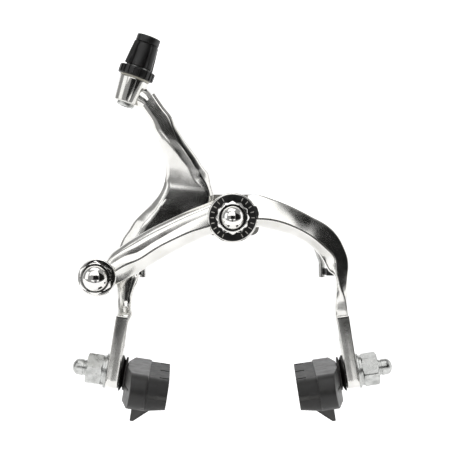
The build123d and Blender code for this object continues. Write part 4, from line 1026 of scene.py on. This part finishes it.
class CALIPER_OT_arms(bpy.types.Operator):
    """Builds both forged arms"""

    bl_idname = "caliper.arms"
    bl_label = "Forged arms"

    def execute(self, context):
        alloy = polished_aluminium(context.scene.caliper_look.alloy)
        front_arm(alloy)
        rear_arm(alloy)
        return {"FINISHED"}


class CALIPER_OT_pivot(bpy.types.Operator):
    """Builds the disc, star nut and domed nut on the pivot"""

    bl_idname = "caliper.pivot"
    bl_label = "Pivot nuts and disc"

    def execute(self, context):
        pivot_pieces(context.scene.caliper_look, chrome(), black_acetal(), marking_paint())
        return {"FINISHED"}


class CALIPER_OT_anchor(bpy.types.Operator):
    """Builds the washer and domed nut of the cable anchor"""

    bl_idname = "caliper.anchor"
    bl_label = "Cable anchor"

    def execute(self, context):
        anchor_pieces(chrome())
        return {"FINISHED"}


class CALIPER_OT_barrel(bpy.types.Operator):
    """Builds the barrel adjuster's ring, knob and housing stop"""

    bl_idname = "caliper.barrel"
    bl_label = "Barrel adjuster"

    def execute(self, context):
        barrel_pieces(black_acetal())
        return {"FINISHED"}


class CALIPER_OT_shoes(bpy.types.Operator):
    """Builds both brake shoes with their washers, nuts and studs"""

    bl_idname = "caliper.shoes"
    bl_label = "Brake shoes"

    def execute(self, context):
        look = context.scene.caliper_look
        nylon, rubber = holder_nylon(look.holder), brake_rubber(look.rubber)
        for side in SIDES:
            shoe_pieces(side, nylon, rubber, dark_steel(), zinc_steel())
        return {"FINISHED"}


class CALIPER_OT_kept_nodes(bpy.types.Operator):
    """Gives the CAD nodes that stay their finishes"""

    bl_idname = "caliper.kept_nodes"
    bl_label = "Finishes of kept parts"

    def execute(self, context):
        finish_kept_nodes()
        return {"FINISHED"}


class CALIPER_OT_studio(bpy.types.Operator):
    """Builds the paper sweep, cards, lights and camera"""

    bl_idname = "caliper.studio"
    bl_label = "Studio"

    def execute(self, context):
        build_camera(context.scene.caliper_studio)
        build_studio(context.scene.caliper_studio)
        return {"FINISHED"}


STEPS = ("studio", "arms", "pivot", "anchor", "barrel", "shoes", "kept_nodes")


class CALIPER_PT_panel(bpy.types.Panel):
    """Lists the steps that build the caliper"""

    bl_label = "Rim brake caliper"
    bl_idname = "CALIPER_PT_panel"
    bl_space_type = "VIEW_3D"
    bl_region_type = "UI"
    bl_category = "Caliper"

    def draw(self, context):
        for settings in (context.scene.caliper_look, context.scene.caliper_studio):
            for name in settings.__annotations__:
                self.layout.prop(settings, name)
        for step in STEPS:
            self.layout.operator("caliper." + step)


CLASSES = (
    CaliperLook,
    CaliperStudio,
    CALIPER_OT_arms,
    CALIPER_OT_pivot,
    CALIPER_OT_anchor,
    CALIPER_OT_barrel,
    CALIPER_OT_shoes,
    CALIPER_OT_kept_nodes,
    CALIPER_OT_studio,
    CALIPER_PT_panel,
)


def register():
    for cls in CLASSES:
        bpy.utils.register_class(cls)
    bpy.types.Scene.caliper_look = PointerProperty(type=CaliperLook)
    bpy.types.Scene.caliper_studio = PointerProperty(type=CaliperStudio)


def unregister():
    del bpy.types.Scene.caliper_studio
    del bpy.types.Scene.caliper_look
    for cls in reversed(CLASSES):
        bpy.utils.unregister_class(cls)


def main():
    register()
    for step in STEPS:
        getattr(bpy.ops.caliper, step)()


if __name__ == "__main__":
    main()
